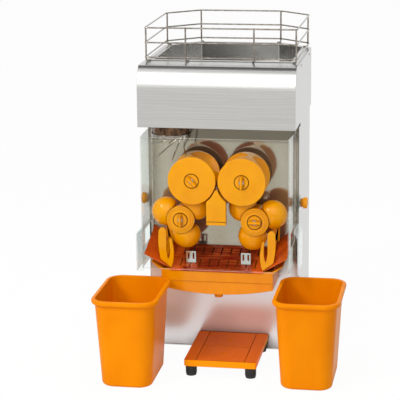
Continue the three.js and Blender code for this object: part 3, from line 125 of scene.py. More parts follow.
def add(owner, kind, settings=None, **sources):
    """Adds a node to a material or world: settings by name or input number, then links into it.

    The setting "stops" gives a colour ramp's places and hex colours. "span" gives a range's start and
    end, and then what comes out there.
    """
    node = owner.node_tree.nodes.new("ShaderNode" + kind)
    for name, value in (settings or {}).items():
        if name == "stops":
            for stop, (place, colour) in zip(node.color_ramp.elements, value):
                stop.position = place
                stop.color = srgb(colour)
        elif name == "span":
            for end, number in zip(("From Min", "From Max", "To Min", "To Max"), value):
                node.inputs[end].default_value = number
        elif isinstance(name, int) or name in node.inputs:
            node.inputs[name].default_value = value
        elif hasattr(node, name):
            setattr(node, name, value)
        else:
            raise KeyError(f"{kind} has no setting {name}")
    link(owner, node, **sources)
    return node


print("a mid grey is", round(srgb("#808080")[0], 3), "in linear light")

# %% [markdown]
# Most finishes differ from a flat colour in the same three ways, so one function lets a noise turn
# the colour, the roughness and the relief. The noise is sized in millimetres on the real piece.


# %% Finishes and patterns
def finish(name, colour, roughness, **shader):
    """A material with one Principled shader; returns it and the shader."""
    made = bpy.data.materials.new(name)
    made.use_nodes = True
    body = made.node_tree.nodes["Principled BSDF"]
    body.inputs["Base Color"].default_value = srgb(colour)
    body.inputs["Roughness"].default_value = roughness
    for setting, value in shader.items():
        body.inputs[setting.replace("_", " ")].default_value = value
    print("finish:", name, colour, "roughness", roughness)
    return made, body


def pattern(owner, size, stretch=(1, 1, 1), detail=2.0):
    """Noise whose patches are about size metres across, longer along each axis by its stretch."""
    scale = [1 / (size * longer) for longer in stretch]
    mapped = add(owner, "Mapping", {"Scale": scale}, Vector=add(owner, "TexCoord").outputs["Object"])
    return add(owner, "TexNoise", {"Scale": 1.0, "Detail": detail}, Vector=mapped)


def varied(owner, body, noise, colours=None, roughness=None, relief=None):
    """Lets a noise turn a finish between two colours or roughnesses, or by a relief's height and share."""
    if colours:
        dark, light = colours
        stops = [(0.35, dark), (0.65, light)]
        link(owner, body, Base_Color=add(owner, "ValToRGB", {"stops": stops}, Fac=noise))
    if roughness:
        link(owner, body, Roughness=add(owner, "MapRange", {"span": (0.3, 0.7, *roughness)}, Value=noise))
    if relief:
        height, share = relief
        pressed = {"Distance": height, "Strength": share}
        link(owner, body, Normal=add(owner, "Bump", pressed, Height=noise))


# %% [markdown]
# The photograph has a white background, so the world is white wherever the camera, a mirror or clear
# plastic looks at it, and softer where it only lights the object. It darkens overhead, as a studio's
# ceiling does, so that steel which faces up has something dark to show.


# %% The world
def seen_directly(owner):
    """1 for camera, mirror and see-through rays, and 0 for rays that only gather light."""
    ray = add(owner, "LightPath").outputs
    either = {"operation": "ADD", "use_clamp": True}
    first = add(owner, "Math", either, i0=ray["Is Camera Ray"], i1=ray["Is Glossy Ray"])
    return add(owner, "Math", either, i0=first, i1=ray["Is Transmission Ray"])


ambient = 0.44
ceiling_starts, ceiling_full = 0.78, 0.93
ceiling_level = 0.15
world = bpy.data.worlds.new("studio")
bpy.context.scene.world = world
world.use_nodes = True
sky = world.node_tree.nodes["Background"]
sky.inputs["Color"].default_value = srgb("#FFFFFF")
level = add(world, "MapRange", {"span": (0.0, 1.0, ambient, 1.0)}, Value=seen_directly(world))
upward = add(world, "SeparateXYZ", Vector=add(world, "TexCoord").outputs["Generated"]).outputs["Z"]
ceiling = {"span": (ceiling_starts, ceiling_full, 1.0, ceiling_level)}
darkened = add(world, "MapRange", ceiling, Value=upward)
strength = add(world, "Math", {"operation": "MULTIPLY"}, i0=level, i1=darkened)
link(world, sky, Strength=strength)
print("ambient", ambient, "and", ceiling_level, "of it overhead")

# %% [markdown]
# The floor is white paper. It is brightened for the same rays, so that it meets the background without
# an edge, and it keeps a little of its own shading, so the object's shadow stays on it.

# %% The floor
paper, paper_body = finish("white_paper", "#F2F2F0", 0.9)
glow_share = 0.96
glow = add(paper, "Emission", {"Color": srgb("#FFFFFF"), "Strength": 1.0})
share = add(paper, "MapRange", {"span": (0.0, 1.0, 0.0, glow_share)}, Value=seen_directly(paper))
blended = add(paper, "MixShader", Fac=share, i1=paper_body, i2=glow)
link(paper, paper.node_tree.nodes["Material Output"], Surface=blended)

floor_radius = 16.0
floor_sides = 64
floor_rim = bmesh.new()
bmesh.ops.create_circle(floor_rim, cap_ends=True, segments=floor_sides, radius=floor_radius)
floor_mesh = bpy.data.meshes.new("floor")
floor_rim.to_mesh(floor_mesh)
floor_rim.free()
floor_mesh.materials.append(paper)
floor = bpy.data.objects.new("floor", floor_mesh)
bpy.context.scene.collection.objects.link(floor)
print("floor radius", floor_radius, "m")

# %% [markdown]
# A product studio lights steel with large soft boxes, because steel shows whatever faces it. A wide
# one in front and above the horizon gives the bright band on the hood where its front leans back. The
# key light at the upper left is tall and narrow, so its highlights on the round plastic are crisp
# streaks. One overhead opens the top, and is kept out of reflections, so that the hood's top edge
# shows the dark ceiling as a thin line.

# %% Soft boxes
machine_middle = Vector((0, -0.15, 0.45))


def soft_box(name, place, width, height, brightness):
    """An area lamp aimed at the machine, whose face has the given brightness, where 1 is white."""
    lamp = bpy.data.lights.new(name, "AREA")
    lamp.shape = "RECTANGLE"
    lamp.size = width
    lamp.size_y = height
    lamp.energy = brightness * math.pi * width * height
    holder = bpy.data.objects.new(name, lamp)
    bpy.context.scene.collection.objects.link(holder)
    holder.location = place
    holder.rotation_euler = (machine_middle - Vector(place)).to_track_quat("-Z", "Y").to_euler()
    holder.visible_camera = False
    print(name, round(lamp.energy, 1), "W")
    return holder


soft_box("front_box", (0.2, -5.2, 3.7), 4.4, 5.2, 1.65)
soft_box("key_box", (-1.9, -2.6, 2.5), 0.5, 1.2, 32.0)
top_box = soft_box("top_box", (0.3, -0.4, 3.2), 2.0, 1.6, 4.0)
top_box.visible_glossy = False

# %% [markdown]
# The cabinet is brushed stainless steel, drawn under a fine abrasive belt. The belt leaves long level
# scratches about 0.1 mm apart, which blur what the steel reflects. They are drawn here about 1 mm
# apart so that they show at all. Faces that look down are painted dark grey-brown as painted shade, so
# that what reflects them shows a dark underside. The hopper's tray is brushed across instead, so a copy
# of the finish has its scratches turned: long from side to side and up its walls.

# %% Brushed stainless steel
brushed_steel, steel_body = finish("brushed_stainless", "#BEBDB9", 0.24, Metallic=1.0)
scratch_gap, scratch_length = 1.2 * mm, 160
scratches = pattern(brushed_steel, scratch_gap, stretch=(scratch_length, scratch_length, 1), detail=3)
belt_shades = {"stops": [(0.3, "#BAB9B6"), (0.7, "#C5C4C1")]}
brushed = add(brushed_steel, "ValToRGB", belt_shades, Fac=scratches)
facing = add(brushed_steel, "NewGeometry").outputs["Normal"]
upright = add(brushed_steel, "SeparateXYZ", Vector=facing).outputs["Z"]
# Painted shade: faces that look down are dark grey-brown.
underside = add(brushed_steel, "MapRange", {"span": (-0.5, -0.9)}, Value=upright)
painted_underside_shade = {"Color2": srgb("#4A4640")}
link(brushed_steel, steel_body,
     Base_Color=add(brushed_steel, "MixRGB", painted_underside_shade, Fac=underside, Color1=brushed))
varied(brushed_steel, steel_body, scratches, roughness=(0.2, 0.28), relief=(0.008 * mm, 0.4))

hopper_steel = brushed_steel.copy()
hopper_steel.name = "crosswise_brushed_stainless"
lengthwise = [node for node in hopper_steel.node_tree.nodes if node.type == "MAPPING"][0]
crosswise = (scratch_length, 1, scratch_length)
lengthwise.inputs["Scale"].default_value = [1 / (scratch_gap * longer) for longer in crosswise]
print("scratches", round(scratch_gap / mm, 1), "mm apart, and turned in", hopper_steel.name)

# %% [markdown]
# The brackets, the knife blade and the shafts are near-mirror stainless steel: rolled bright, then
# buffed. It reflects clearly, with a slight haze that varies over a hand's width from wiping.

# %% Polished stainless steel
polished_steel, mirror_body = finish("polished_stainless", "#C4C4BF", 0.08, Metallic=1.0)
wiping = pattern(polished_steel, 70 * mm, stretch=(1.5, 1.5, 1))
varied(polished_steel, mirror_body, wiping, colours=("#C0C0BA", "#C9C9C5"), roughness=(0.05, 0.11))

# %% [markdown]
# The front panel is rolled bright too, but only its upper part is ever buffed. Below the tank no juice
# lands and nobody polishes, so the sheet is duller and reflections there are only a blur. So its
# roughness, and its share of mirror metal, follow the height. The whitish colour it has there is a
# painted reflection, given with the film below.

# %% The panel's shine
filmed_shaded_panel, panel_body = finish("juice_filmed_stainless", "#AFA998", 0.1, Metallic=0.8)
panel_place = add(filmed_shaded_panel, "TexCoord").outputs["Object"]
panel_height = add(filmed_shaded_panel, "SeparateXYZ", Vector=panel_place).outputs["Z"]
buffing = (200 * mm, 262 * mm)  # dull below the first height, bright above the second
blurred_below = {"span": (*buffing, 0.2, 0.09)}
whitish_below = {"span": (*buffing, 0.5, 0.8)}
link(filmed_shaded_panel, panel_body,
     Roughness=add(filmed_shaded_panel, "MapRange", blurred_below, Value=panel_height),
     Metallic=add(filmed_shaded_panel, "MapRange", whitish_below, Value=panel_height))
print("panel buffed above", round(buffing[1] / mm), "mm")

# %% [markdown]
# Juice dries on the panel behind the drums. The film tints it like weak tea, in cloudy runs that go
# down the sheet, and stops below the tank. There the sheet is painted near white with a touch of blue,
# as a painted reflection of the white studio that also cancels the orange light bounced from the bins.
# A browner band just under the hood, above the clear cover, is painted shade from the hood, and the
# corners under the hood and along the folded edges are the darkest, as painted shade. An Ambient
# Occlusion node finds the corners, as it tells how shut in a spot is.

# %% The panel's film of juice, painted reflection and painted shade
tea_runs = pattern(filmed_shaded_panel, 34 * mm, stretch=(1, 1, 3), detail=3)
tea = add(filmed_shaded_panel, "ValToRGB", {"stops": [(0, "#B4A690"), (1, "#BFB7AB")]}, Fac=tea_runs)
filmed = add(filmed_shaded_panel, "MapRange", {"span": buffing}, Value=panel_height)
# Painted reflection: near white with a touch of blue below the tank, for the white it mirrors.
painted_white_below = add(filmed_shaded_panel, "MixRGB", {"Color1": srgb("#F0F2F4")}, Fac=filmed, Color2=tea)
# Painted shade: a brown band just under the hood.
hood_shade_heights = (558 * mm, 546 * mm)
below_hood_shade = add(filmed_shaded_panel, "MapRange", {"span": hood_shade_heights}, Value=panel_height)
painted_hood_shade = {"Color1": srgb("#7A7264")}
banded = add(filmed_shaded_panel, "MixRGB", painted_hood_shade, Fac=below_hood_shade, Color2=painted_white_below)
# Painted shade: the corners that the AO node finds are darkened.
corner_reach = 45 * mm
corners = add(filmed_shaded_panel, "AmbientOcclusion", {"Distance": corner_reach, "samples": 8}).outputs["AO"]
in_the_open = add(filmed_shaded_panel, "MapRange", {"span": (0.25, 0.8)}, Value=corners)
painted_corner_shade = {"Color1": srgb("#6E665A")}
panel_colour = add(filmed_shaded_panel, "MixRGB", painted_corner_shade, Fac=in_the_open, Color2=banded)
link(filmed_shaded_panel, panel_body, Base_Color=panel_colour)
print("film darker within", round(corner_reach / mm), "mm of a corner")

# %% [markdown]
# The strainer is perforated stainless steel that is always wet with juice and pulp. The film is thick
# enough to hide part of the metal: dark red-brown in the middle, where it pools, and bright orange on
# the two wings. It dries in level streaks, drawn here 4 mm apart.

# %% Juice-wet strainer
wet_steel, wet_body = finish("juice_wet_stainless", "#B5421C", 0.22, Metallic=0.3, Specular_IOR_Level=0.2)
pulp_streaks = pattern(wet_steel, 4 * mm, stretch=(14, 1, 1), detail=3)
pulp_shades = {"stops": [(0.35, "#8C1D14"), (0.65, "#C2541B")]}
pooled = add(wet_steel, "ValToRGB", pulp_shades, Fac=pulp_streaks)
wet_place = add(wet_steel, "TexCoord").outputs["Object"]
across = add(wet_steel, "SeparateXYZ", Vector=wet_place).outputs["X"]
aside = add(wet_steel, "Math", {"operation": "ABSOLUTE"}, i0=across)
wing_starts, wing_full = 84 * mm, 96 * mm
on_wing = add(wet_steel, "MapRange", {"span": (wing_starts, wing_full)}, Value=aside)
wing_juice = {"Color2": srgb("#E8651A")}
link(wet_steel, wet_body, Base_Color=add(wet_steel, "MixRGB", wing_juice, Fac=on_wing, Color1=pooled))
varied(wet_steel, wet_body, pulp_streaks, roughness=(0.14, 0.32))

# %% [markdown]
# The basket and the wire guide are drawn stainless wire, welded and electropolished. The die leaves
# them bright with faint lines along their length, and the polish rounds every weld.

# %% Bright wire
bright_wire, wire_body = finish("electropolished_wire", "#8F877D", 0.16, Metallic=1.0)
drawing_lines = pattern(bright_wire, 3 * mm, stretch=(4, 4, 4))
varied(bright_wire, wire_body, drawing_lines, colours=("#7D756B", "#A39C93"), roughness=(0.12, 0.22))

# %% [markdown]
# The feed chute's tube is stainless that hangs in the hood's shadow. Its shine stays, and its colour goes
# from straw to dark brown in cloudy patches: partly stains of juice and peel oil, and partly painted
# shade and reflection of the dark hood round it.

# %% Juice-stained tube, partly painted shade
shaded_stained_steel, shaded_stained_body = finish("juice_stained_stainless", "#5E4738", 0.2, Metallic=1.0)
stains = pattern(shaded_stained_steel, 14 * mm, stretch=(1, 1, 2), detail=4)
# Dark browns: partly stains, partly painted shade.
varied(shaded_stained_steel, shaded_stained_body, stains, colours=("#33241C", "#7D5F49"), roughness=(0.14, 0.3))

# %% [markdown]
# Plates, gears, bearings and studs are machined steel: sawn or hobbed, then left as cut. The tool
# marks are a few tenths of a millimetre apart on the real pieces, and about 1 mm here so that they
# show. They make it greyer and duller than the sheet.

# %% Machined steel
machined_steel, cut_body = finish("machined_steel", "#9A9A97", 0.36, Metallic=1.0)
tool_marks = pattern(machined_steel, 1.2 * mm, stretch=(6, 6, 1), detail=3)
varied(machined_steel, cut_body, tool_marks, colours=("#8A8A87", "#A6A6A2"), roughness=(0.3, 0.45),
       relief=(0.03 * mm, 0.4))

# %% [markdown]
# Drums, rotors, knobs, knife block and ejectors are glossy ABS, injection moulded against a polished
# tool and coloured right through. The colour drifts a little where the melt flowed, and wear from
# fruit leaves slightly duller patches a centimetre or two across. Grooves and corners are painted dark
# brown by how open each spot is, as painted shade. The parts in the hood's shade behind the cover get
# lighter shades than the juice tank, as painted light, so the tank has a copy of the finish with its
# own two deeper shades.

# %% Glossy orange ABS
orange_abs, abs_body = finish("glossy_orange_abs", "#F8A400", 0.12, IOR=1.54, Specular_IOR_Level=0.22)
melt_flow = pattern(orange_abs, 45 * mm, stretch=(1, 1, 1.6))
moulded_shades = {"stops": [(0.35, "#F29900"), (0.65, "#F8A400")]}
moulded = add(orange_abs, "ValToRGB", moulded_shades, Fac=melt_flow)
# Painted shade: grooves and corners that the AO node finds turn dark brown.
groove_shade_reach = 6 * mm
openness = add(orange_abs, "AmbientOcclusion", {"Distance": groove_shade_reach, "samples": 8}).outputs["AO"]
open_share = add(orange_abs, "MapRange", {"span": (0.4, 0.95)}, Value=openness)
painted_groove_shade = {"Color1": srgb("#7A3602")}
link(orange_abs, abs_body, Base_Color=add(orange_abs, "MixRGB", painted_groove_shade, Fac=open_share, Color2=moulded))
fruit_wear = pattern(orange_abs, 12 * mm, detail=4)
varied(orange_abs, abs_body, fruit_wear, roughness=(0.09, 0.14))
ripple = pattern(orange_abs, 9 * mm, detail=1)
varied(orange_abs, abs_body, ripple, relief=(0.05 * mm, 0.3))

# Painted light: the first finish is lighter for the parts in the hood's shade; the tank's copy keeps deeper
# shades.
tank_abs = orange_abs.copy()
tank_abs.name = "tank_orange_abs"
tank_shades = ("#E68A00", "#EC9400")
for stop, shade in zip(tank_abs.node_tree.nodes[moulded.name].color_ramp.elements, tank_shades):
    stop.color = srgb(shade)
print("tank shades", *tank_shades)

# %% [markdown]
# The peel bins are polypropylene, moulded thin. Its surface is waxy and softer in its shine than ABS,
# and the walls have a fine orange-peel texture about 2 mm across. Bins get scuffed where they are
# kicked and dragged, so the lowest few centimetres are duller, and the height above the floor gives
# that.

# %% Orange polypropylene
bin_plastic, bin_body = finish("orange_polypropylene", "#F58E00", 0.36, IOR=1.49, Specular_IOR_Level=0.05)
bin_flow = pattern(bin_plastic, 80 * mm, stretch=(1, 1, 2))
bin_texture = pattern(bin_plastic, 2 * mm, detail=2)
varied(bin_plastic, bin_body, bin_flow, colours=("#E38000", "#EA8900"))
varied(bin_plastic, bin_body, bin_texture, relief=(0.03 * mm, 0.35))
clean_roughness = 0.34
scuff_top, most_scuffed = 45 * mm, 0.3
scuffs = pattern(bin_plastic, 6 * mm, stretch=(3, 3, 1), detail=4)
bin_place = add(bin_plastic, "TexCoord").outputs["Object"]
bin_height = add(bin_plastic, "SeparateXYZ", Vector=bin_place).outputs["Z"]
near_floor = {"span": (0.0, scuff_top, most_scuffed, 0.0)}
lowness = add(bin_plastic, "MapRange", near_floor, Value=bin_height)
scuffed = add(bin_plastic, "Math", {"operation": "MULTIPLY"}, i0=lowness, i1=scuffs)
duller = add(bin_plastic, "Math", {"operation": "ADD", 1: clean_roughness}, i0=scuffed)
link(bin_plastic, bin_body, Roughness=duller)
print("scuffs up to", round(scuff_top / mm), "mm")

# %% [markdown]
# The drip tray is the same kind of ABS in a deeper orange. Its deck is satin, wiped dry so often that
# faint streaks run along it. Faces that look up are painted darker than the front edge, as painted shade
# from the tank and hood above. The gaps round the lids and the rim's inner corner are painted dark
# brown, as painted shade.

# %% Drip tray ABS
tray_abs, tray_body = finish("satin_orange_abs", "#E8820E", 0.3, IOR=1.54, Specular_IOR_Level=0.008)
wiped = pattern(tray_abs, 7 * mm, stretch=(1, 14, 1), detail=3)
# Painted shade: faces that look up are darker than the front edge.
tray_normal = add(tray_abs, "NewGeometry").outputs["Normal"]
tray_facing = add(tray_abs, "SeparateXYZ", Vector=tray_normal).outputs["Z"]
deck = add(tray_abs, "MapRange", {"span": (0.6, 0.9)}, Value=tray_facing)
shaded_deck_streaks = add(tray_abs, "ValToRGB", {"stops": [(0, "#C45808"), (1, "#CE6208")]}, Fac=wiped)
tray_colour = add(tray_abs, "MixRGB", {"Color1": srgb("#F59410")}, Fac=deck, Color2=shaded_deck_streaks)
# Painted shade: crevices that the AO node finds are dark brown.
crevice_reach = 12 * mm
tray_open = add(tray_abs, "AmbientOcclusion", {"Distance": crevice_reach, "samples": 8}).outputs["AO"]
out_of_crevice = add(tray_abs, "MapRange", {"span": (0.5, 0.92)}, Value=tray_open)
painted_crevice_shade = {"Color1": srgb("#6A1C04")}
link(tray_abs, tray_body, Base_Color=add(tray_abs, "MixRGB", painted_crevice_shade, Fac=out_of_crevice, Color2=tray_colour))
varied(tray_abs, tray_body, wiped, roughness=(0.26, 0.34))

# %% [markdown]
# The cover and its scoops are clear polycarbonate sheet, 3 mm thick, bent hot and polished. A flat
# sheet hardly shifts what is seen through it, so light goes straight through here, and the highlights
# on the plastic behind it stay crisp. Seen square on, the sheet has no gloss of its own. Its gloss
# grows towards a flat angle, so it shows on the sides and the bends.

# %% Clear polycarbonate
clear_plastic, clear_body = finish("clear_polycarbonate", "#F4F7F5", 0.03, Metallic=1.0)
breath = pattern(clear_plastic, 60 * mm)
varied(clear_plastic, clear_body, breath, roughness=(0.02, 0.06))
straight_through = add(clear_plastic, "BsdfTransparent", {"Color": srgb("#FAFCFB")})
flat_angle = add(clear_plastic, "LayerWeight", {"Blend": 0.5}).outputs["Facing"]
gloss_steepness, most_gloss = 4.0, 0.75
steeper = add(clear_plastic, "Math", {"operation": "POWER", 1: gloss_steepness}, i0=flat_angle)
gloss = add(clear_plastic, "MapRange", {"span": (0.0, 1.0, 0.0, most_gloss)}, Value=steeper)
clear_mix = add(clear_plastic, "MixShader", Fac=gloss, i1=straight_through, i2=clear_body)
link(clear_plastic, clear_plastic.node_tree.nodes["Material Output"], Surface=clear_mix)

# %% [markdown]
# Where the polycarbonate was sawn, the edge is dull, and it gathers the light that runs along inside
# the sheet. It shows as a pale satin line, so it is mostly a plain pale surface, a little see-through.

# %% Sawn polycarbonate edge
sawn_edge, sawn_body = finish("sawn_polycarbonate_edge", "#C9C2B8", 0.35, Specular_IOR_Level=0.3)
saw_marks = pattern(sawn_edge, 0.8 * mm, stretch=(1, 1, 6))
varied(sawn_edge, sawn_body, saw_marks, colours=("#B5AEA5", "#F0ECE6"))
sawn_clear = add(sawn_edge, "BsdfTransparent", {"Color": srgb("#E9ECEA")})
sawn_share = {"Fac": 0.8}
sawn_mix = add(sawn_edge, "MixShader", sawn_share, i1=sawn_clear, i2=sawn_body)
link(sawn_edge, sawn_edge.node_tree.nodes["Material Output"], Surface=sawn_mix)

# %% [markdown]
# Feet and seals are moulded rubber, matt and nearly black, with the faint grey bloom that wax leaves
# as it comes to the surface. The switch and inlet are black ABS with the spark texture of an eroded
# tool. The motor is enamelled over a casting, with a faint orange peel.

# %% Rubber, black ABS and motor enamel
black_rubber, rubber_body = finish("black_rubber", "#141414", 0.75, IOR=1.52)
bloom = pattern(black_rubber, 3 * mm, detail=4)
varied(black_rubber, rubber_body, bloom, colours=("#0F0F0F", "#1D1D1C"), roughness=(0.6, 0.85))

black_abs, black_body = finish("textured_black_abs", "#1A1A1A", 0.45, IOR=1.54)
spark = pattern(black_abs, 0.8 * mm, detail=2)
varied(black_abs, black_body, spark, colours=("#161616", "#202020"), relief=(0.04 * mm, 0.6))

motor_enamel, motor_body = finish("motor_enamel", "#3A4046", 0.4, IOR=1.5)
enamel_peel = pattern(motor_enamel, 2.5 * mm, detail=2)
varied(motor_enamel, motor_body, enamel_peel, colours=("#363C42", "#40464C"), relief=(0.05 * mm, 0.5))

# %% [markdown]
# Each CAD node already names its record slot, so one loop gives every node its finish. A few pieces
# have a finish of their own inside their slot: they are the same stuff, but brushed, wetted or
# coloured otherwise. Nodes that stay hidden inside the cabinet, such as gears, need nothing more.

# %% Finish every CAD node
finishes = {
    "brushed_steel": brushed_steel,
    "polished_steel": polished_steel,
    "chrome_wire": bright_wire,
    "dark_steel": shaded_stained_steel,
    "machined_steel": machined_steel,
    "orange_plastic": orange_abs,
    "bin_plastic": bin_plastic,
    "tray_plastic": tray_abs,
    "clear_plastic": clear_plastic,
    "black_rubber": black_rubber,
    "black_plastic": black_abs,
    "motor_paint": motor_enamel,
}
own_finish = {
    "front_panel": filmed_shaded_panel,
    "strainer": wet_steel,
    "hopper_tray": hopper_steel,
    "juice_tank": tank_abs,
}
slot_of = {}
for name, node in frame["nodes"].items():
    slot_of[name] = node.data.materials[0].name.split(".")[0]
    node.data.materials[0] = own_finish.get(name, finishes[slot_of[name]])
body_of = {name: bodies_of(node)[0] for name, node in frame["nodes"].items()}
print(len(slot_of), "nodes finished in", len(finishes), "slots")

# %% [markdown]
# Every piece made below leaves its mesh code through one function. It smooths the faces except at
# sharp edges, gives the piece its finish, and seats it on the CAD body it belongs to. Weighted normals
# keep the large flats flat, which mirror-bright steel needs.

# %% From a bmesh to a piece that rides on its body
sharp_edge = math.radians(34)


def seated(name, skin, node, edge=0.0, stands_for=True, slot=None):
    """A finished piece from a bmesh, on the body and in the slot of a CAD node, which it may replace."""
    slot = slot or slot_of[node]
    for face in skin.faces:
        face.smooth = True
    for seam in skin.edges:
        seam.smooth = seam.calc_face_angle(0) < sharp_edge
    mesh = bpy.data.meshes.new(name)
    skin.to_mesh(mesh)
    skin.free()
    own = own_finish.get(node) if slot == slot_of[node] else None
    mesh.materials.append(own or finishes[slot])
    piece = bpy.data.objects.new(name, mesh)
    bpy.context.scene.collection.objects.link(piece)
    if edge:
        soft = piece.modifiers.new("soft_edges", "BEVEL")
        soft.width = edge
        soft.segments = 2
        soft.limit_method = "ANGLE"
        soft.angle_limit = sharp_edge
    flat = piece.modifiers.new("flat_faces", "WEIGHTED_NORMAL")
    flat.keep_sharp = True
    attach(piece, body_of[node])
    if stands_for:
        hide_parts(node)
    return piece


print("edges sharper than", round(math.degrees(sharp_edge)), "degrees stay sharp")

# %% [markdown]
# Some pieces already have the right shape in the frame. Their skin comes as triangles, so the corners
# are welded and the triangles of each flat are joined before it is used again. A bevel needs that: on
# loose triangles it would find no edge between two faces to soften.

# %% A CAD node's own skin
same_corner = 0.02 * mm
flat_enough = math.radians(0.6)


def cad_skin(node):
    """A CAD node's own skin, with its corners welded and its flat faces made whole."""
    skin = bmesh.new()
    skin.from_mesh(frame["nodes"][node].data)
    bmesh.ops.remove_doubles(skin, verts=skin.verts, dist=same_corner)
    bmesh.ops.dissolve_limit(skin, angle_limit=flat_enough, verts=skin.verts, edges=skin.edges)
    return skin


# %% [markdown]
# The hood's front is folded back over a former, so its top edge is one even bend. The solid draws it
# with a few flats that don't bend evenly, which shows as a grey line in the steel's bright band. Here
# the points of the bend are set down on a curve that starts level with the top and steepens evenly.

# %% The hood
sheet_edge, thin_edge, moulded_edge = 0.6 * mm, 0.35 * mm, 1.2 * mm
bend_front, bend_back = -258.5 * mm, -246 * mm
bend_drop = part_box("hood")[1].z - 746 * mm
hood_skin = cad_skin("hood")
for point in hood_skin.verts:
    along = (point.co.y - bend_front) / (bend_back - bend_front)
    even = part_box("hood")[1].z - bend_drop * (1 - along) ** 2
    if 0 < along < 1 and point.co.z > even:
        point.co.z = even
seated("hood_skin", hood_skin, "hood", sheet_edge)
print("hood's corner drops", round(bend_drop / mm, 1), "mm")

# %% [markdown]
# Real sheet and mouldings have no perfectly sharp edge: a bend has its radius and a moulding its
# draft. A small bevel gives each edge the thin highlight that the eye expects. It is widest on thick
# mouldings and narrowest on thin pieces.

# %% Sheets and mouldings with softened edges
softened_nodes = {
    sheet_edge: ["column_shell", "base_plate", "front_panel", "rear_cover", "hopper_tray"],
    thin_edge: ["left_bracket", "right_bracket", "knife_blade", "power_switch", "power_inlet"],
    moulded_edge: ["juice_tank", "knife_holder", "drip_tray"],
}
for edge, names in softened_nodes.items():
    ending = "_moulding" if edge == moulded_edge else "_skin"
    for name in names:
        seated(name + ending, cad_skin(name), name, edge)
print(sum(len(names) for names in softened_nodes.values()), "nodes with softened edges")

# %% [markdown]
# The strainer's edges and the rims of its slots are scrubbed daily with a brush, which keeps the steel
# bright there. So its bevel is wider and takes the polished steel as its own material.

# %% The strainer
scrubbed_edge = 0.7 * mm
strainer_skin = seated("strainer_skin", cad_skin("strainer"), "strainer", scrubbed_edge)
strainer_skin.data.materials.append(polished_steel)
strainer_skin.modifiers["soft_edges"].material = 1
print("strainer with bright edges", round(scrubbed_edge / mm, 1), "mm wide")

# %% [markdown]
# The clear sheets need their sawn edges told from their polished faces. A sawn face is as narrow as the
# sheet is thick and stands square to its neighbours along most of its outline. The flats of a hot
# bend can be as narrow, but they meet their neighbours at a slant.

# %% The clear cover and its scoops
sheet_thickness = 3.2 * mm
square_enough = math.radians(60)
square_share = 0.7
for name in ("front_cover", "left_scoop", "right_scoop"):
    skin = cad_skin(name)
    for face in skin.faces:
        around = face.calc_perimeter()
        width = 2 * face.calc_area() / around
        square = sum(side.calc_length() for side in face.edges if side.calc_face_angle(0) > square_enough)
        face.material_index = int(width < sheet_thickness and square > square_share * around)
    sheet = seated(name + "_skin", skin, name, thin_edge)
    sheet.data.materials.append(sawn_edge)
    sawn = sum(face.material_index for face in sheet.data.polygons)
    print(name, "has", sawn, "sawn faces")

# %% [markdown]
# Turned pieces are a profile spun about an axis. The profile is a short list of (radius, place along
# the axis, rounding) corners. First each corner is eased by its own rounding, as a turner breaks every
# edge.

# %% Eased profiles
ease_steps = 4


def rounded_corner(before, corner, after, radius, steps):
    """Points that lead round a corner between its neighbours, on a curve that starts radius away."""
    arrive, leave = before - corner, after - corner
    reach = min(radius, arrive.length / 2, leave.length / 2)
    start = corner + arrive.normalized() * reach
    end = corner + leave.normalized() * reach
    shares = [step / steps for step in range(steps + 1)]
    return [start * (1 - t) ** 2 + corner * 2 * t * (1 - t) + end * t**2 for t in shares]


def eased(corners, closed=False):
    """Rounds each corner of a profile by its third number."""
    places = [Vector(corner[:2]) for corner in corners]
    points = []
    for i, corner in enumerate(corners):
        ends = not closed and i in (0, len(corners) - 1)
        if ends or len(corner) == 2:
            points.append(places[i])
            continue
        after = places[(i + 1) % len(corners)]
        points += rounded_corner(places[i - 1], places[i], after, corner[2], ease_steps)
    return points


square_corners = [(x * mm, z * mm, 1 * mm) for x, z in ((0, 0), (9, 0), (9, 9), (0, 9))]
print("a square with eased corners has", len(eased(square_corners, closed=True)), "points")

# %% [markdown]
# Then the profile is spun: each of its points becomes a ring, and faces join one ring to the next. A
# Screw modifier could spin it too, but plain mesh code lets a profile run along any of the three axes
# and close to a point on the axis.


# %% Turning
def turned(corners, place, axis="Y", sides=96, closed=False):
    """Spins a profile about an axis through a place, and returns its skin."""
    skin = bmesh.new()
    rings = []
    for radius, along in eased(corners, closed):
        ring = []
        for i in range(sides if radius > same_corner else 1):
            angle = 2 * math.pi * i / sides
            point = [radius * math.cos(angle), radius * math.sin(angle)]
            point.insert("XYZ".index(axis), along)
            ring.append(skin.verts.new(Vector(point) + Vector(place)))
        rings.append(ring)
    pairs = list(zip(rings, rings[1:]))
    if closed:
        pairs.append((rings[-1], rings[0]))
    for near, far in pairs:
        for i in range(sides):
            j = (i + 1) % sides
            around = [near[i % len(near)], near[j % len(near)], far[j % len(far)], far[i % len(far)]]
            around = list(dict.fromkeys(around))
            if len(around) > 2:
                skin.faces.new(around)
    bmesh.ops.recalc_face_normals(skin, faces=skin.faces)
    return skin


# %% [markdown]
# The cups are cut out of the drums and the domes are joined to the hubs by booleans, on plain skins
# and before any softening, so that the bevel also runs along the new edges.


# %% Cutting and joining
def carved(skin, tools, operation="DIFFERENCE"):
    """Cuts tool skins from a skin, or joins them to it, and returns the new skin."""
    holders = []
    for shape in [skin, *tools]:
        mesh = bpy.data.meshes.new("blank")
        shape.to_mesh(mesh)
        shape.free()
        holder = bpy.data.objects.new("blank", mesh)
        bpy.context.scene.collection.objects.link(holder)
        holders.append(holder)
    blank = holders[0]
    for tool in holders[1:]:
        cutting = blank.modifiers.new("cut", "BOOLEAN")
        cutting.operation = operation
        cutting.solver = "EXACT"
        cutting.object = tool
    ready = blank.evaluated_get(bpy.context.evaluated_depsgraph_get())
    result = bmesh.new()
    result.from_mesh(ready.to_mesh())
    for holder in holders:
        bpy.data.objects.remove(holder)
    bmesh.ops.remove_doubles(result, verts=result.verts, dist=same_corner)
    return result


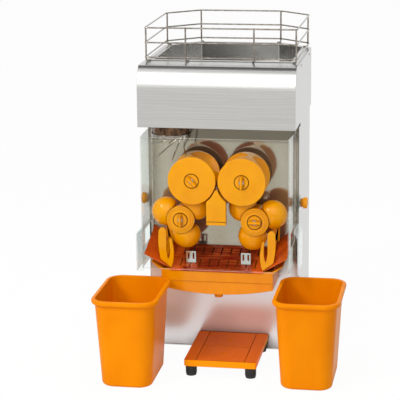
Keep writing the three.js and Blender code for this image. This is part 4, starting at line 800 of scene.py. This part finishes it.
# %% [markdown]
# Each drum and rotor sits on a stepped shaft, and a lock knob on the shaft's thin end holds it. All
# four have the same bore, with a recess for the knob in front. Both kinds have three cups or domes, a
# third of a turn apart. They mesh on the line between two shafts, and at rest they stand some 32
# degrees on from there, as the photograph shows them.

# %% Shafts, bores and directions
bore_gap = 0.3 * mm
shaft_low, shaft_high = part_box("left_drum_shaft")
shaft_radius = (shaft_high.x - shaft_low.x) / 2
spindle_radius = 6 * mm
pocket_depth, pocket_radius = 3 * mm, 19 * mm
wall_before_shoulder = 7 * mm


def axis_of(name):
    """Where a drum's or rotor's axis stands, with y at zero, from its shaft."""
    low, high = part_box(name + "_shaft")
    return Vector(((low.x + high.x) / 2, 0, (low.z + high.z) / 2))


rest_turn = math.radians(31.6)
drum_axis, rotor_axis = axis_of("right_drum"), axis_of("right_rotor")
mesh_angle = math.atan2(drum_axis.z - rotor_axis.z, rotor_axis.x - drum_axis.x)


def squeezing_angles(side, first):
    """Three directions about a shaft, a third of a turn apart, mirrored on the right."""
    angles = [first + i * 2 * math.pi / 3 for i in range(3)]
    return angles if side < 0 else [math.pi - angle for angle in angles]


def bore_profile(front, rear):
    """The profile's inner corners: recess for the knob, spindle hole and shaft bore."""
    floor = front + pocket_depth
    shoulder = floor + wall_before_shoulder
    return [
        (pocket_radius, front, 0.6 * mm),
        (pocket_radius, floor, 0.4 * mm),
        (spindle_radius + bore_gap, floor),
        (spindle_radius + bore_gap, shoulder),
        (shaft_radius + bore_gap, shoulder),
        (shaft_radius + bore_gap, rear),
    ]


print("shafts", round(2 * shaft_radius / mm), "mm thick")
print("drum and rotor mesh at", round(math.degrees(mesh_angle)), "degrees")

# %% [markdown]
# A drum is a thick ABS disc with three deep cups round it, which fold round half a fruit and roll it
# over the knife. It is turned with eased rims and a recess for its lock knob, and the cups are cut
# with ellipsoids, as a ball-nosed cutter would leave them in the moulding tool.

# %% The two cupped drums
cup_half_sizes = Vector((52, 41, 76)) * mm  # along the cup, along the shaft, across
cup_floor = 24 * mm
drum_rim, cup_edge = 2.2 * mm, 1 * mm


def ellipsoid(centre, half_sizes, turn):
    """A smooth ball stretched to three half sizes and turned about the shaft's direction."""
    ball = bmesh.new()
    bmesh.ops.create_uvsphere(ball, u_segments=56, v_segments=32, radius=1)
    shape = Matrix.Translation(centre) @ Matrix.Rotation(-turn, 4, "Y") @ Matrix.Diagonal((*half_sizes, 1))
    bmesh.ops.transform(ball, matrix=shape, verts=ball.verts)
    return ball


for side, name in ((-1, "left_drum"), (1, "right_drum")):
    low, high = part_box(name)
    axis = axis_of(name)
    radius = (high.x - low.x) / 2
    rims = [(radius, high.y, drum_rim), (radius, low.y, drum_rim)]
    blank = turned([*rims, *bore_profile(low.y, high.y)], axis, closed=True)
    middle = (low.y + high.y) / 2
    cups = []
    for angle in squeezing_angles(side, mesh_angle + math.pi + rest_turn):
        outward = Vector((math.cos(angle), 0, math.sin(angle)))
        centre = axis + outward * (cup_floor + cup_half_sizes.x) + Vector((0, middle, 0))
        cups.append(ellipsoid(centre, cup_half_sizes, angle))
    seated(name + "_moulding", carved(blank, cups), name, cup_edge)
    print(name, "radius", round(radius / mm, 1), "mm")

# %% [markdown]
# A rotor is a hub with three domes that push the fruit into the cups. Its face has stepped rings left
# by the turned tool, and each dome is a ball cut flat and seated on the hub, with a fine groove where
# the two meet. Each is turned, and then they are joined. The domes are a little flatter along the shaft
# than across it, so the hub's face stands whole in front of them.

# %% A dome's profile
dome_radius = 36.8 * mm
dome_offset = 44 * mm
dome_seat = 27 * mm
groove = 1.4 * mm
dome_steps = 30


def dome_profile():
    """From the seat, past the groove, over the ball to its pole, measured out from the hub's axis."""
    seat_angle = math.acos((dome_offset - dome_seat) / dome_radius)
    neck = dome_radius * math.sin(seat_angle) - groove
    corners = [(0, dome_seat), (neck, dome_seat), (neck, dome_seat + groove)]
    start = math.asin(min(1, (dome_offset - dome_seat - 2 * groove) / dome_radius))
    for step in range(dome_steps):
        angle = -start + (math.pi / 2 + start) * step / dome_steps
        corners.append((dome_radius * math.cos(angle), dome_offset + dome_radius * math.sin(angle)))
    return [*corners, (0, dome_offset + dome_radius)]


print("dome radius", round(dome_radius / mm, 1), "mm,", len(dome_profile()), "points in its profile")

# %% A hub's profile
hub_radius, hub_neck = 35 * mm, 30 * mm
hub_length, hub_rounding = 72 * mm, 2 * mm
ring_count, ring_pitch, ring_step = 3, 4.2 * mm, 1.1 * mm
face_rounding = 0.4 * mm


def hub_profile(front, middle):
    """A neck behind, a collar round the domes' roots, the stepped rings of the face, and the bore."""
    rear = front + hub_length
    corners = [(hub_neck, rear, hub_rounding), (hub_neck, middle)]
    corners.append((hub_radius, middle - hub_neck / 2, hub_rounding))
    for ring in range(ring_count):
        radius = hub_radius - ring * ring_pitch
        corners.append((radius, front + (ring_count - ring) * ring_step, face_rounding))
        corners.append((radius, front + (ring_count - ring - 1) * ring_step, face_rounding))
    return corners + bore_profile(front, rear)


print("hub radius", round(hub_radius / mm), "mm with", ring_count, "rings on its face")

# %% The two three-dome rotors
dome_flatness = 0.8
drum_low, drum_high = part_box("left_drum")
middle = (drum_low.y + drum_high.y) / 2
for side, name in ((-1, "left_rotor"), (1, "right_rotor")):
    axis = axis_of(name)
    knob_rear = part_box(name + "_knob")[1].y
    front = knob_rear + bore_gap - pocket_depth
    hub = turned(hub_profile(front, middle), axis, closed=True)
    domes = []
    for angle in squeezing_angles(side, mesh_angle - rest_turn):
        dome = turned(dome_profile(), (0, 0, 0), axis="X", sides=64)
        place = Matrix.Translation(axis + Vector((0, middle, 0))) @ Matrix.Rotation(-angle, 4, "Y")
        place = place @ Matrix.Diagonal((1, dome_flatness, 1, 1))
        bmesh.ops.transform(dome, matrix=place, verts=dome.verts)
        domes.append(dome)
    seated(name + "_moulding", carved(hub, domes, "UNION"), name)
    print(name, "hub front at y", round(front, 4))

# %% [markdown]
# Each lock knob is a disc with a tapered finger bar across it, screwed on the shaft's spindle in the
# drum's recess. The bar's ends follow the disc, and it narrows towards its top so that it leaves the
# mould. It is lofted: its outline is drawn at five heights, and the rings are joined.


# %% Lofting
def lofted(rings):
    """Joins rings of points one to the next and closes both ends."""
    skin = bmesh.new()
    rows = [[skin.verts.new(point) for point in ring] for ring in rings]
    count = len(rows[0])
    for near, far in zip(rows, rows[1:]):
        for i in range(count):
            j = (i + 1) % count
            skin.faces.new([near[i], near[j], far[j], far[i]])
    skin.faces.new(rows[0])
    skin.faces.new(rows[-1])
    bmesh.ops.recalc_face_normals(skin, faces=skin.faces)
    return skin


def bar_ring(width, reach, y):
    """A bar's outline at one height: straight sides, and ends that follow a circle of that reach."""
    half = math.asin(width / 2 / reach)
    ends = [half * (2 * step / 6 - 1) for step in range(7)]
    angles = [math.pi / 2 - a for a in ends] + [-math.pi / 2 - a for a in ends]
    return [Vector((reach * math.cos(a), y, reach * math.sin(a))) for a in angles]


# %% Four lock knobs
bar_width, bar_top_width = 9 * mm, 4.5 * mm
bar_height, bar_inset = 11 * mm, 1.6 * mm
lock_radius = 17 * mm
lock_edge = 0.5 * mm
knob_turns = {"left_drum": 45, "right_drum": 0, "left_rotor": 0, "right_rotor": 90}

for name, degrees in knob_turns.items():
    low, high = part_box(name + "_knob")
    axis = axis_of(name)
    top, seat = low.y, high.y
    shoulder = top + bar_height
    disc = [(0, seat), (lock_radius, seat, 0.5 * mm), (lock_radius, shoulder, 1.4 * mm), (0, shoulder)]
    heights = [
        (bar_width, shoulder + 1 * mm),
        (bar_width * 0.9, shoulder - 1 * mm),
        (bar_top_width * 1.1, top + 1.5 * mm),
        (bar_top_width * 0.8, top + 0.4 * mm),
        (bar_top_width * 0.5, top),
    ]
    bar = lofted([bar_ring(width, lock_radius - bar_inset, y) for width, y in heights])
    turn = Matrix.Translation(axis) @ Matrix.Rotation(-math.radians(degrees), 4, "Y")
    bmesh.ops.transform(bar, matrix=turn, verts=bar.verts)
    knob = carved(turned(disc, axis, sides=64), [bar], "UNION")
    seated(name + "_knob_moulding", knob, name + "_knob", lock_edge)
print(len(knob_turns), "lock knobs")

# %% [markdown]
# A peel ejector is one moulding that stands on the strainer's wing. In front, a horn and a slim curved
# tusk strip the peel from the domes on both sides. A low bar runs back from it to a second horn at the
# panel. Each form is a flat outline drawn as a maker would cut it from sheet, pulled to its thickness.
# The wing slopes, so a ray dropped on the strainer gives the height that each foot stands at.

# %% An ejector's outlines
strainer_solid = BVHTree.FromBMesh(cad_skin("strainer"))
foot_gap = 0.5 * mm
horn_middle, horn_half = 138 * mm, 9.5 * mm
bow_steps, tip_steps = 8, 12


def wing_height(x, y):
    """How high the strainer's upper face stands at a place."""
    return strainer_solid.ray_cast(Vector((x, y, 1)), Vector((0, 0, -1)))[0].z + foot_gap


def plate(side, outline, front, rear):
    """A flat plate from an outline of (across, height) points, between two depths."""
    return lofted([[Vector((side * x, y, z)) for x, z in outline] for y in (front, rear)])


def horn_outline(side, y, foot_inner, foot_outer, top, bow):
    """A horn with a round tip, whose outer edge bows outward above a narrow foot."""
    foot_z = wing_height(side * foot_outer, y)
    points = [(foot_inner, wing_height(side * foot_inner, y)), (foot_outer, foot_z)]
    for step in range(1, bow_steps):
        t = step / bow_steps
        rise = foot_z + (top - horn_half - foot_z) * t
        straight = foot_outer + (horn_middle + horn_half - foot_outer) * t
        points.append((straight + bow * math.sin(math.pi * t), rise))
    for step in range(tip_steps + 1):
        angle = math.pi * step / tip_steps
        across = horn_middle + horn_half * math.cos(angle)
        points.append((across, top - horn_half + horn_half * math.sin(angle)))
    return points


print("wing height under the horn", round(wing_height(horn_middle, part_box("left_ejector")[0].y) / mm), "mm")

# %% An ejector's sizes
blade_thick, rear_thick = 8 * mm, 6 * mm
rear_front = -176 * mm
blade_foot, blade_bow = (116 * mm, 143 * mm), 3 * mm
rear_foot = (130 * mm, 147 * mm)
slit_and_tusk = [
    (horn_middle - horn_half, 290 * mm), (horn_middle - horn_half - 2 * mm, 276 * mm),
    (124 * mm, 268 * mm), (120 * mm, 276 * mm), (118.5 * mm, 290 * mm), (119.5 * mm, 306 * mm),
    (121 * mm, 318 * mm), (118 * mm, 322 * mm), (114 * mm, 316 * mm), (111 * mm, 302 * mm),
    (109.5 * mm, 286 * mm), (110 * mm, 270 * mm), (112.5 * mm, 256 * mm),
]
bar_inner, bar_outer = 129 * mm, 141 * mm
bar_inner_rise, bar_outer_rise = 11 * mm, 9 * mm
front_lap, rear_lap = 1 * mm, 3 * mm
ejector_edge = 1 * mm
print("slit and tusk drawn with", len(slit_and_tusk), "points")

# %% Two peel ejectors
for side, word in ((-1, "left"), (1, "right")):
    low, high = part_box(word + "_ejector")
    front, top = low.y, high.z
    horn = horn_outline(side, front + blade_thick / 2, *blade_foot, top, blade_bow)
    blades = plate(side, horn + slit_and_tusk, front, front + blade_thick)
    second = horn_outline(side, rear_front, *rear_foot, top, 0)
    rear_horn = plate(side, second, rear_front, rear_front + rear_thick)
    bar = []
    for y in (front + front_lap, rear_front + rear_lap):
        inner_x, outer_x = side * bar_inner, side * bar_outer
        inner_z, outer_z = wing_height(inner_x, y), wing_height(outer_x, y)
        bar.append([Vector((inner_x, y, inner_z)), Vector((outer_x, y, outer_z)),
                    Vector((outer_x, y, outer_z + bar_outer_rise)),
                    Vector((inner_x, y, inner_z + bar_inner_rise))])
    ejector = carved(blades, [rear_horn, lofted(bar)], "UNION")
    seated(word + "_ejector_moulding", ejector, word + "_ejector", ejector_edge)
    print(word, "ejector", round((top - horn[0][1]) / mm), "mm tall")

# %% [markdown]
# The two lids of the drip tray drop in with a finger's clearance, so each can be lifted by the slot in
# its middle. The clearance shows as a dark line all round, and the CAD lid is drawn in by that much.

# %% Drip tray lids
lid_clearance, lid_edge = 0.9 * mm, 0.5 * mm
for name in ("front_lid", "rear_lid"):
    low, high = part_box(name)
    centre = (low + high) / 2
    lid = cad_skin(name)
    for point in lid.verts:
        for i in (0, 1):
            half = (high[i] - low[i]) / 2
            share = (half - lid_clearance) / half
            from_centre = point.co[i] - centre[i]
            point.co[i] = centre[i] + from_centre * share
    seated(name + "_moulding", lid, name, lid_edge)
print("lids drawn in by", round(lid_clearance / mm, 1), "mm")

# %% [markdown]
# Behind each drum and rotor a flanged bearing stands on the panel, and the bare shaft shows between
# the two. Both are turned steel, so they are spun again with more sides from their own boxes.

# %% Bearings and shafts
flange_thick, flange_width = 4 * mm, 6 * mm
spindle_length = 17.3 * mm
for name in knob_turns:
    axis = axis_of(name)
    low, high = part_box(name + "_bearing")
    flange_radius = (high.x - low.x) / 2
    flange_back = low.y + flange_thick
    bearing_radius = flange_radius - flange_width
    bore = shaft_radius + bore_gap
    ring = [(bore, high.y), (bearing_radius, high.y), (bearing_radius, flange_back)]
    ring += [(flange_radius, flange_back, 0.6 * mm), (flange_radius - 1.5 * mm, low.y, 0.8 * mm)]
    ring.append((bore, low.y, 0.4 * mm))
    seated(name + "_bearing_ring", turned(ring, axis, sides=64, closed=True), name + "_bearing")
    low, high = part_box(name + "_shaft")
    step = low.y + spindle_length
    spindle = [(0, low.y), (spindle_radius, low.y, 0.6 * mm), (spindle_radius, step)]
    bar = [*spindle, (shaft_radius, step, 0.6 * mm), (shaft_radius, high.y, 1 * mm), (0, high.y)]
    seated(name + "_shaft_bar", turned(bar, axis, sides=48), name + "_shaft")
print("bearings and shafts:", 2 * len(knob_turns))

# %% [markdown]
# Two cover knobs clamp the clear cover's ears to the cabinet's sides. Each has a plain waist and a
# wider skirt with shallow flutes for the fingers. The skirt's flutes are pressed into the turned
# shape by moving its outer points in and out. A blind hole takes the cabinet's threaded stud.

# %% Cover knobs
flute_count, flute_depth = 14, 0.9 * mm
skirt_over_waist = 3.5 * mm
stud_hole, hole_end = 4.3 * mm, 4.7 * mm
waist_length, skirt_starts = 5 * mm, 6.5 * mm
dish_depth = 0.8 * mm
for side, name in ((-1, "left_cover_knob"), (1, "right_cover_knob")):
    low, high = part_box(name)
    centre = (low + high) / 2
    skirt = (high.z - low.z) / 2
    waist = skirt - skirt_over_waist
    start, end = sorted((low.x, high.x), key=abs)
    corners = [
        (stud_hole, start),
        (waist, start, 0.6 * mm),
        (waist, start + side * waist_length, 0.8 * mm),
        (skirt, start + side * skirt_starts, 1 * mm),
        (skirt, end - side * 2 * mm, 0.4 * mm),
        (skirt - 2 * mm, end, 1.5 * mm),
        (skirt * 0.6, end, 1 * mm),
        (skirt * 0.5, end - side * dish_depth, 1 * mm),
        (0, end - side * dish_depth),
        (0, end - side * hole_end),
        (stud_hole, end - side * hole_end),
    ]
    skin = turned(corners, (0, centre.y, centre.z), axis="X", sides=112, closed=True)
    for point in skin.verts:
        across = Vector((0, point.co.y - centre.y, point.co.z - centre.z))
        if across.length > waist + 1 * mm:
            angle = math.atan2(across.z, across.y)
            point.co -= across.normalized() * flute_depth * (0.5 + 0.5 * math.cos(flute_count * angle))
    seated(name + "_moulding", skin, name)
print("cover knobs with", flute_count, "flutes")

# %% [markdown]
# A peel bin is one thin moulding: walls that taper down to a rounded foot, and a rim rolled outward
# that stiffens it. It is lofted through rounded rectangles, up the outside, over the rim and down the
# inside, which leaves real wall thickness to see at the lip. The rim's roll is squarer than a circle,
# as a moulded rim is, so its top catches the light as a flat band.

# %% A bin's rings
corner_steps = 12
bin_corner, bin_foot = 34 * mm, 8 * mm
bin_wall = 2.5 * mm
bin_rim, bin_rim_height = 8 * mm, 12 * mm
bin_taper = Vector((12, 13)) * mm


def rounded_ring(half_x, half_y, radius, z):
    """A rounded rectangle about the origin at one height."""
    ring = []
    for corner in range(4):
        side_x = 1 if corner in (0, 3) else -1
        side_y = 1 if corner < 2 else -1
        for step in range(corner_steps + 1):
            angle = (corner + step / corner_steps) * math.pi / 2
            x = side_x * (half_x - radius) + radius * math.cos(angle)
            ring.append(Vector((x, side_y * (half_y - radius) + radius * math.sin(angle), z)))
    return ring


def bin_ring(low, high, share_down, grow, z):
    """One ring of the bin in a box, tapered by its share of the way down and grown outward."""
    centre = Vector(((low.x + high.x) / 2, (low.y + high.y) / 2, 0))
    half = (high - low) / 2
    across = half.x - bin_rim - share_down * bin_taper.x + grow
    along = half.y - bin_rim - share_down * bin_taper.y + grow
    return [point + centre for point in rounded_ring(across, along, bin_corner + grow, z)]


print("bin walls", round(bin_wall / mm, 1), "mm thick")

# %% A bin's path from ring to ring
foot_steps, wall_steps, roll_steps = 6, 8, 8
roll_start, roll_sweep = math.radians(-80), math.radians(170)
rim_squareness = 0.4
lip_drop = 2.5 * mm


def bin_path(tall):
    """Each ring's share of the way down, growth and height: foot, wall, rim, lip and inside."""
    under_rim = tall - bin_rim_height
    roll = bin_rim_height / 2
    lip = tall - lip_drop
    path = [(1, -bin_foot, 0)]
    for step in range(1, foot_steps + 1):
        bend = math.radians(90) * step / foot_steps
        z = bin_foot * (1 - math.cos(bend))
        path.append((1 - z / tall, -bin_foot * (1 - math.sin(bend)), z))
    for step in range(1, wall_steps + 1):
        z = bin_foot + (under_rim - bin_foot) * step / wall_steps
        path.append((1 - z / tall, 0, z))
    for step in range(roll_steps):
        bend = roll_start + roll_sweep * step / roll_steps
        z = under_rim + roll + roll * math.sin(bend)
        path.append((0, bin_rim * math.cos(bend) ** rim_squareness, z))
    path += [(0, 0, tall), (0, -bin_wall * 0.6, tall - 0.3 * mm), (0, -bin_wall, lip)]
    for step in range(1, wall_steps + 1):
        z = lip - (lip - bin_foot) * step / wall_steps
        path.append((1 - z / tall, -bin_wall, z))
    return [*path, (1, -bin_foot * 0.6, bin_wall * 1.4), (1, -bin_foot * 1.2, bin_wall)]


# %% Two peel bins
for name in ("left_bin", "right_bin"):
    low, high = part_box(name)
    rings = [bin_ring(low, high, *place) for place in bin_path(high.z)]
    seated(name + "_moulding", lofted(rings), name)
    print(name, "has", len(rings), "rings over", round(high.z / mm), "mm")

# %% [markdown]
# Wire work is drawn as curves with a round section, as a wire is one line with a diameter. The line
# is bent at its corners round a real bending radius.

# %% Wires
wire_roundness = 3


def wires(name, lines, radius, node, stands_for=True):
    """Round wires along lists of points; a line that ends where it starts is closed."""
    data = bpy.data.curves.new(name, "CURVE")
    data.dimensions = "3D"
    data.bevel_depth = radius
    data.bevel_resolution = wire_roundness
    data.use_fill_caps = True
    for points in lines:
        ring = (points[0] - points[-1]).length < same_corner
        points = points[:-1] if ring else points
        line = data.splines.new("POLY")
        line.points.add(len(points) - 1)
        for place, point in zip(line.points, points):
            place.co = (*point, 1)
        line.use_cyclic_u = ring
        line.use_smooth = True
    data.materials.append(finishes[slot_of[node]])
    piece = bpy.data.objects.new(name, data)
    bpy.context.scene.collection.objects.link(piece)
    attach(piece, body_of[node])
    if stands_for:
        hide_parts(node)
    return piece


def bent(corners, radius, steps=6):
    """A line through corners, each bent round a radius."""
    corners = [Vector(corner) for corner in corners]
    points = [corners[0]]
    for before, corner, after in zip(corners, corners[1:], corners[2:]):
        points += rounded_corner(before, corner, after, radius, steps)
    points.append(corners[-1])
    return points


# %% [markdown]
# The wire basket keeps fruit on the hopper: three rails bent round six corners and welded to upright
# posts. One post stands in each corner and two along the front. The posts' feet bend inward and lie
# on the hood.

# %% The basket's rails
rail_radius, post_radius = 1.9 * mm, 2.2 * mm
rail_count, rail_step, rail_bend = 3, 37 * mm, 7 * mm
side_length = 281 * mm
low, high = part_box("basket")
rail_x = high.x - post_radius
back_x = 109.7 * mm
front_y, back_y = low.y + post_radius, high.y - post_radius
cut_y = front_y + side_length
right_half = [(rail_x, front_y), (rail_x, cut_y), (back_x, back_y)]
plan = [(-rail_x, front_y), *right_half, (-back_x, back_y), (-rail_x, cut_y)]
top_rail = high.z - rail_radius - 0.3 * mm
rails = []
for i in range(rail_count):
    z = top_rail - i * rail_step
    middle = Vector((0, front_y, z))
    rails.append(bent([middle, *[(x, y, z) for x, y in plan[1:]], (*plan[0], z), middle], rail_bend))
wires("basket_rails", rails, rail_radius, "basket")
print(len(rails), "rails,", round(2 * rail_x / mm), "mm across")

# %% The basket's posts
front_post_shares = (-0.47, 0.445)
foot_length, foot_bend = 13 * mm, 5 * mm
weld_depth = 0.8 * (rail_radius + post_radius)
foot_z = low.z + post_radius
posts = []
for x, y in [*plan, *[(share * rail_x, front_y) for share in front_post_shares]]:
    inward = Vector((-x, -y, 0)).normalized()
    inner = Vector((x, y, 0)) + inward * weld_depth
    foot = inner + inward * foot_length
    corners = [(inner.x, inner.y, top_rail + rail_radius), (inner.x, inner.y, foot_z)]
    posts.append(bent([*corners, (foot.x, foot.y, foot_z)], foot_bend))
wires("basket_posts", posts, post_radius, "basket", stands_for=False)
print(len(posts), "posts")

# %% [markdown]
# The feed chute is a rolled tube with a flange that hangs it in the hood, and a band is clamped round
# its mouth. Both are turned about the chute's own axis.

# %% The feed chute and the guide's band
chute_low, chute_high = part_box("feed_chute")
chute_x = (chute_low.x + chute_high.x) / 2
chute_y = (chute_low.y + chute_high.y) / 2
inner_radius, outer_radius = 44 * mm, 46 * mm
chute_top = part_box("hopper_tray")[0].z - 0.4 * mm
flange_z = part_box("hood")[0].z + 1.8 * mm
flange_top = flange_z + 2 * mm
flange_radius = (chute_high.x - chute_low.x) / 2
tube = [(outer_radius, chute_low.z, 0.8 * mm), (outer_radius, flange_z), (flange_radius, flange_z)]
tube += [(flange_radius, flange_top), (outer_radius, flange_top), (outer_radius, chute_top)]
tube += [(inner_radius, chute_top), (inner_radius, chute_low.z, 0.8 * mm)]
seated("feed_chute_tube", turned(tube, (chute_x, chute_y, 0), axis="Z", closed=True), "feed_chute")

finger_radius = 1.7 * mm
band_low = chute_low.z - 0.3 * mm
band_top = band_low + 10 * mm
band_inner = outer_radius + bore_gap
band_outer = band_inner + 2 * finger_radius
band = [(band_inner, band_low, 0.4 * mm), (band_outer, band_low, 0.6 * mm)]
band += [(band_outer, band_top, 0.6 * mm), (band_inner, band_top, 0.4 * mm)]
seated("wire_guide_band", turned(band, (chute_x, chute_y, 0), axis="Z", closed=True), "wire_guide")
print("chute", round(2 * inner_radius / mm), "mm wide inside")

# %% [markdown]
# Four bent wire fingers lead a fruit down from the band to the left drum. Each swings forward and
# down, then curls back at its tip. Four places give a finger, and a smooth curve is led through them.

# %% The guide's fingers
finger_shares = {196: 0.86, 222: 0.96, 246: 0.82, 268: 0.56}  # direction in degrees, share of length
finger_roots = (22, 32, 42, 52)
finger_length, finger_curl = 84 * mm, 20 * mm
finger_steps = 8


def smooth_through(p):
    """A curve through places whose slope at each one follows its two neighbours."""
    line = []
    for i in range(len(p) - 1):
        before, start, end, after = p[max(i - 1, 0)], p[i], p[i + 1], p[min(i + 2, len(p) - 1)]
        for step in range(finger_steps + (i == len(p) - 2)):
            t = step / finger_steps
            curve = before * 2 - start * 5 + end * 4 - after
            twist = start * 3 - before - end * 3 + after
            line.append((start * 2 + (end - before) * t + curve * t**2 + twist * t**3) / 2)
    return line


fingers = []
for (angle, length_share), root in zip(finger_shares.items(), finger_roots):
    reach = finger_length * length_share
    along = Vector((math.cos(math.radians(angle)), 0, math.sin(math.radians(angle))))
    round_band = Vector((math.sin(math.radians(root)), -math.cos(math.radians(root)), 0))
    start = Vector((chute_x, chute_y, (band_low + band_top) / 2)) + round_band * band_outer
    path = [start, start + along * reach / 3 + Vector((0, -finger_curl / 4, 0))]
    path += [start + along * reach * 2 / 3, start + along * reach + Vector((0, finger_curl, 0))]
    fingers.append(smooth_through(path))
wires("wire_guide_fingers", fingers, finger_radius, "wire_guide", stands_for=False)
print("wire guide:", len(fingers), "fingers")

# %% [markdown]
# The drip tray stands on four rubber feet, moulded with two grip rings and a chamfered sole.

# %% Rubber feet
grip_rings = (8 * mm, 14 * mm)
grip_depth = 1 * mm
for across in ("left", "right"):
    for end_name in ("front", "rear"):
        name = across + "_" + end_name + "_foot"
        low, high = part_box(name)
        centre = ((low.x + high.x) / 2, (low.y + high.y) / 2, 0)
        wide = (high.x - low.x) / 2
        corners = [(0, 0), (wide - 1.5 * mm, 0, 1 * mm), (wide - 0.5 * mm, 6 * mm, 0.5 * mm)]
        for z in grip_rings:
            notch = (wide - grip_depth, z + 1 * mm)
            corners += [(wide, z, 0.4 * mm), notch, (wide, z + 2 * mm, 0.4 * mm)]
        corners += [(wide, high.z, 0.8 * mm), (0, high.z)]
        seated(name + "_moulding", turned(corners, centre, axis="Z", sides=48), name)
print("four feet")

# %% [markdown]
# Small fixings finish the sheet metal: two round-headed screws on each side of the hood, and six on
# the rear cover. Each is turned from its own profile, with a socket for the key in its head.

# %% Screws
screw_radius, screw_height = 3.2 * mm, 1.9 * mm
hood_low, hood_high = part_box("hood")
cover_low, cover_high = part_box("rear_cover")
cover_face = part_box("column_shell")[1].y + 1.8 * mm


def screw(name, place, axis, outward, node):
    """A round-headed screw with a socket, standing on a sheet's face."""
    along = outward * screw_height
    head = [(0, 0), (screw_radius, 0, 0.3 * mm), (screw_radius * 0.86, along * 0.75, 0.9 * mm)]
    head += [(screw_radius * 0.45, along, 0.4 * mm), (screw_radius * 0.4, along, 0.2 * mm)]
    head += [(screw_radius * 0.36, along * 0.35), (0, along * 0.3)]
    return seated(name, turned(head, place, axis=axis, sides=24), node, stands_for=False)


hood_screw_z = hood_high.z - 10 * mm
for side, word, face in ((-1, "left", hood_low.x), (1, "right", hood_high.x)):
    for i, y in enumerate((-152 * mm, 34 * mm)):
        screw(f"hood_{word}_screw_{i + 1}", (face, y, hood_screw_z), "X", side, "hood")
cover_inset, cover_end = 9 * mm, 12 * mm
for i, z in enumerate((cover_low.z + cover_end, 310 * mm, cover_high.z - cover_end)):
    for word, x in (("left", cover_low.x + cover_inset), ("right", cover_high.x - cover_inset)):
        screw(f"rear_{word}_screw_{i + 1}", (x, cover_face, z), "Y", 1, "rear_cover")
print("four screws on the hood and six on the rear cover")

# %% [markdown]
# A black strip under each side of the hood stands for the shadow in the gap over the clear cover's top,
# as painted shadow. It shows as a dark line that widens towards the panel, so it is a wedge: 2 mm deep
# at its front end and 10 mm at the panel, lofted between two rounded sections.

# %% Two wedge strips of painted shadow
shadow_strip_half, shadow_strip_inset = 2.4 * mm, 0.3 * mm
shadow_strip_ends = ((-244 * mm, 2 * mm), (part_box("front_panel")[0].y - 1 * mm, 10 * mm))
for side, word in ((-1, "left"), (1, "right")):
    shadow_strip_x = side * (hood_high.x - shadow_strip_half - shadow_strip_inset)
    strip = []
    for y, drop in shadow_strip_ends:
        section = [(-shadow_strip_half, 0, 0.5 * mm), (shadow_strip_half, 0, 0.5 * mm)]
        section += [(shadow_strip_half, -drop, 1 * mm), (-shadow_strip_half, -drop, 1 * mm)]
        strip.append([Vector((shadow_strip_x + x, y, hood_low.z + z)) for x, z in eased(section, closed=True)])
    # Painted shadow: a black strip where the gap under the hood is in shade.
    seated(f"hood_{word}_painted_shadow_strip", lofted(strip), "hood", stands_for=False, slot="black_rubber")
print("two seals,", round((shadow_strip_ends[1][0] - shadow_strip_ends[0][0]) / mm), "mm long")
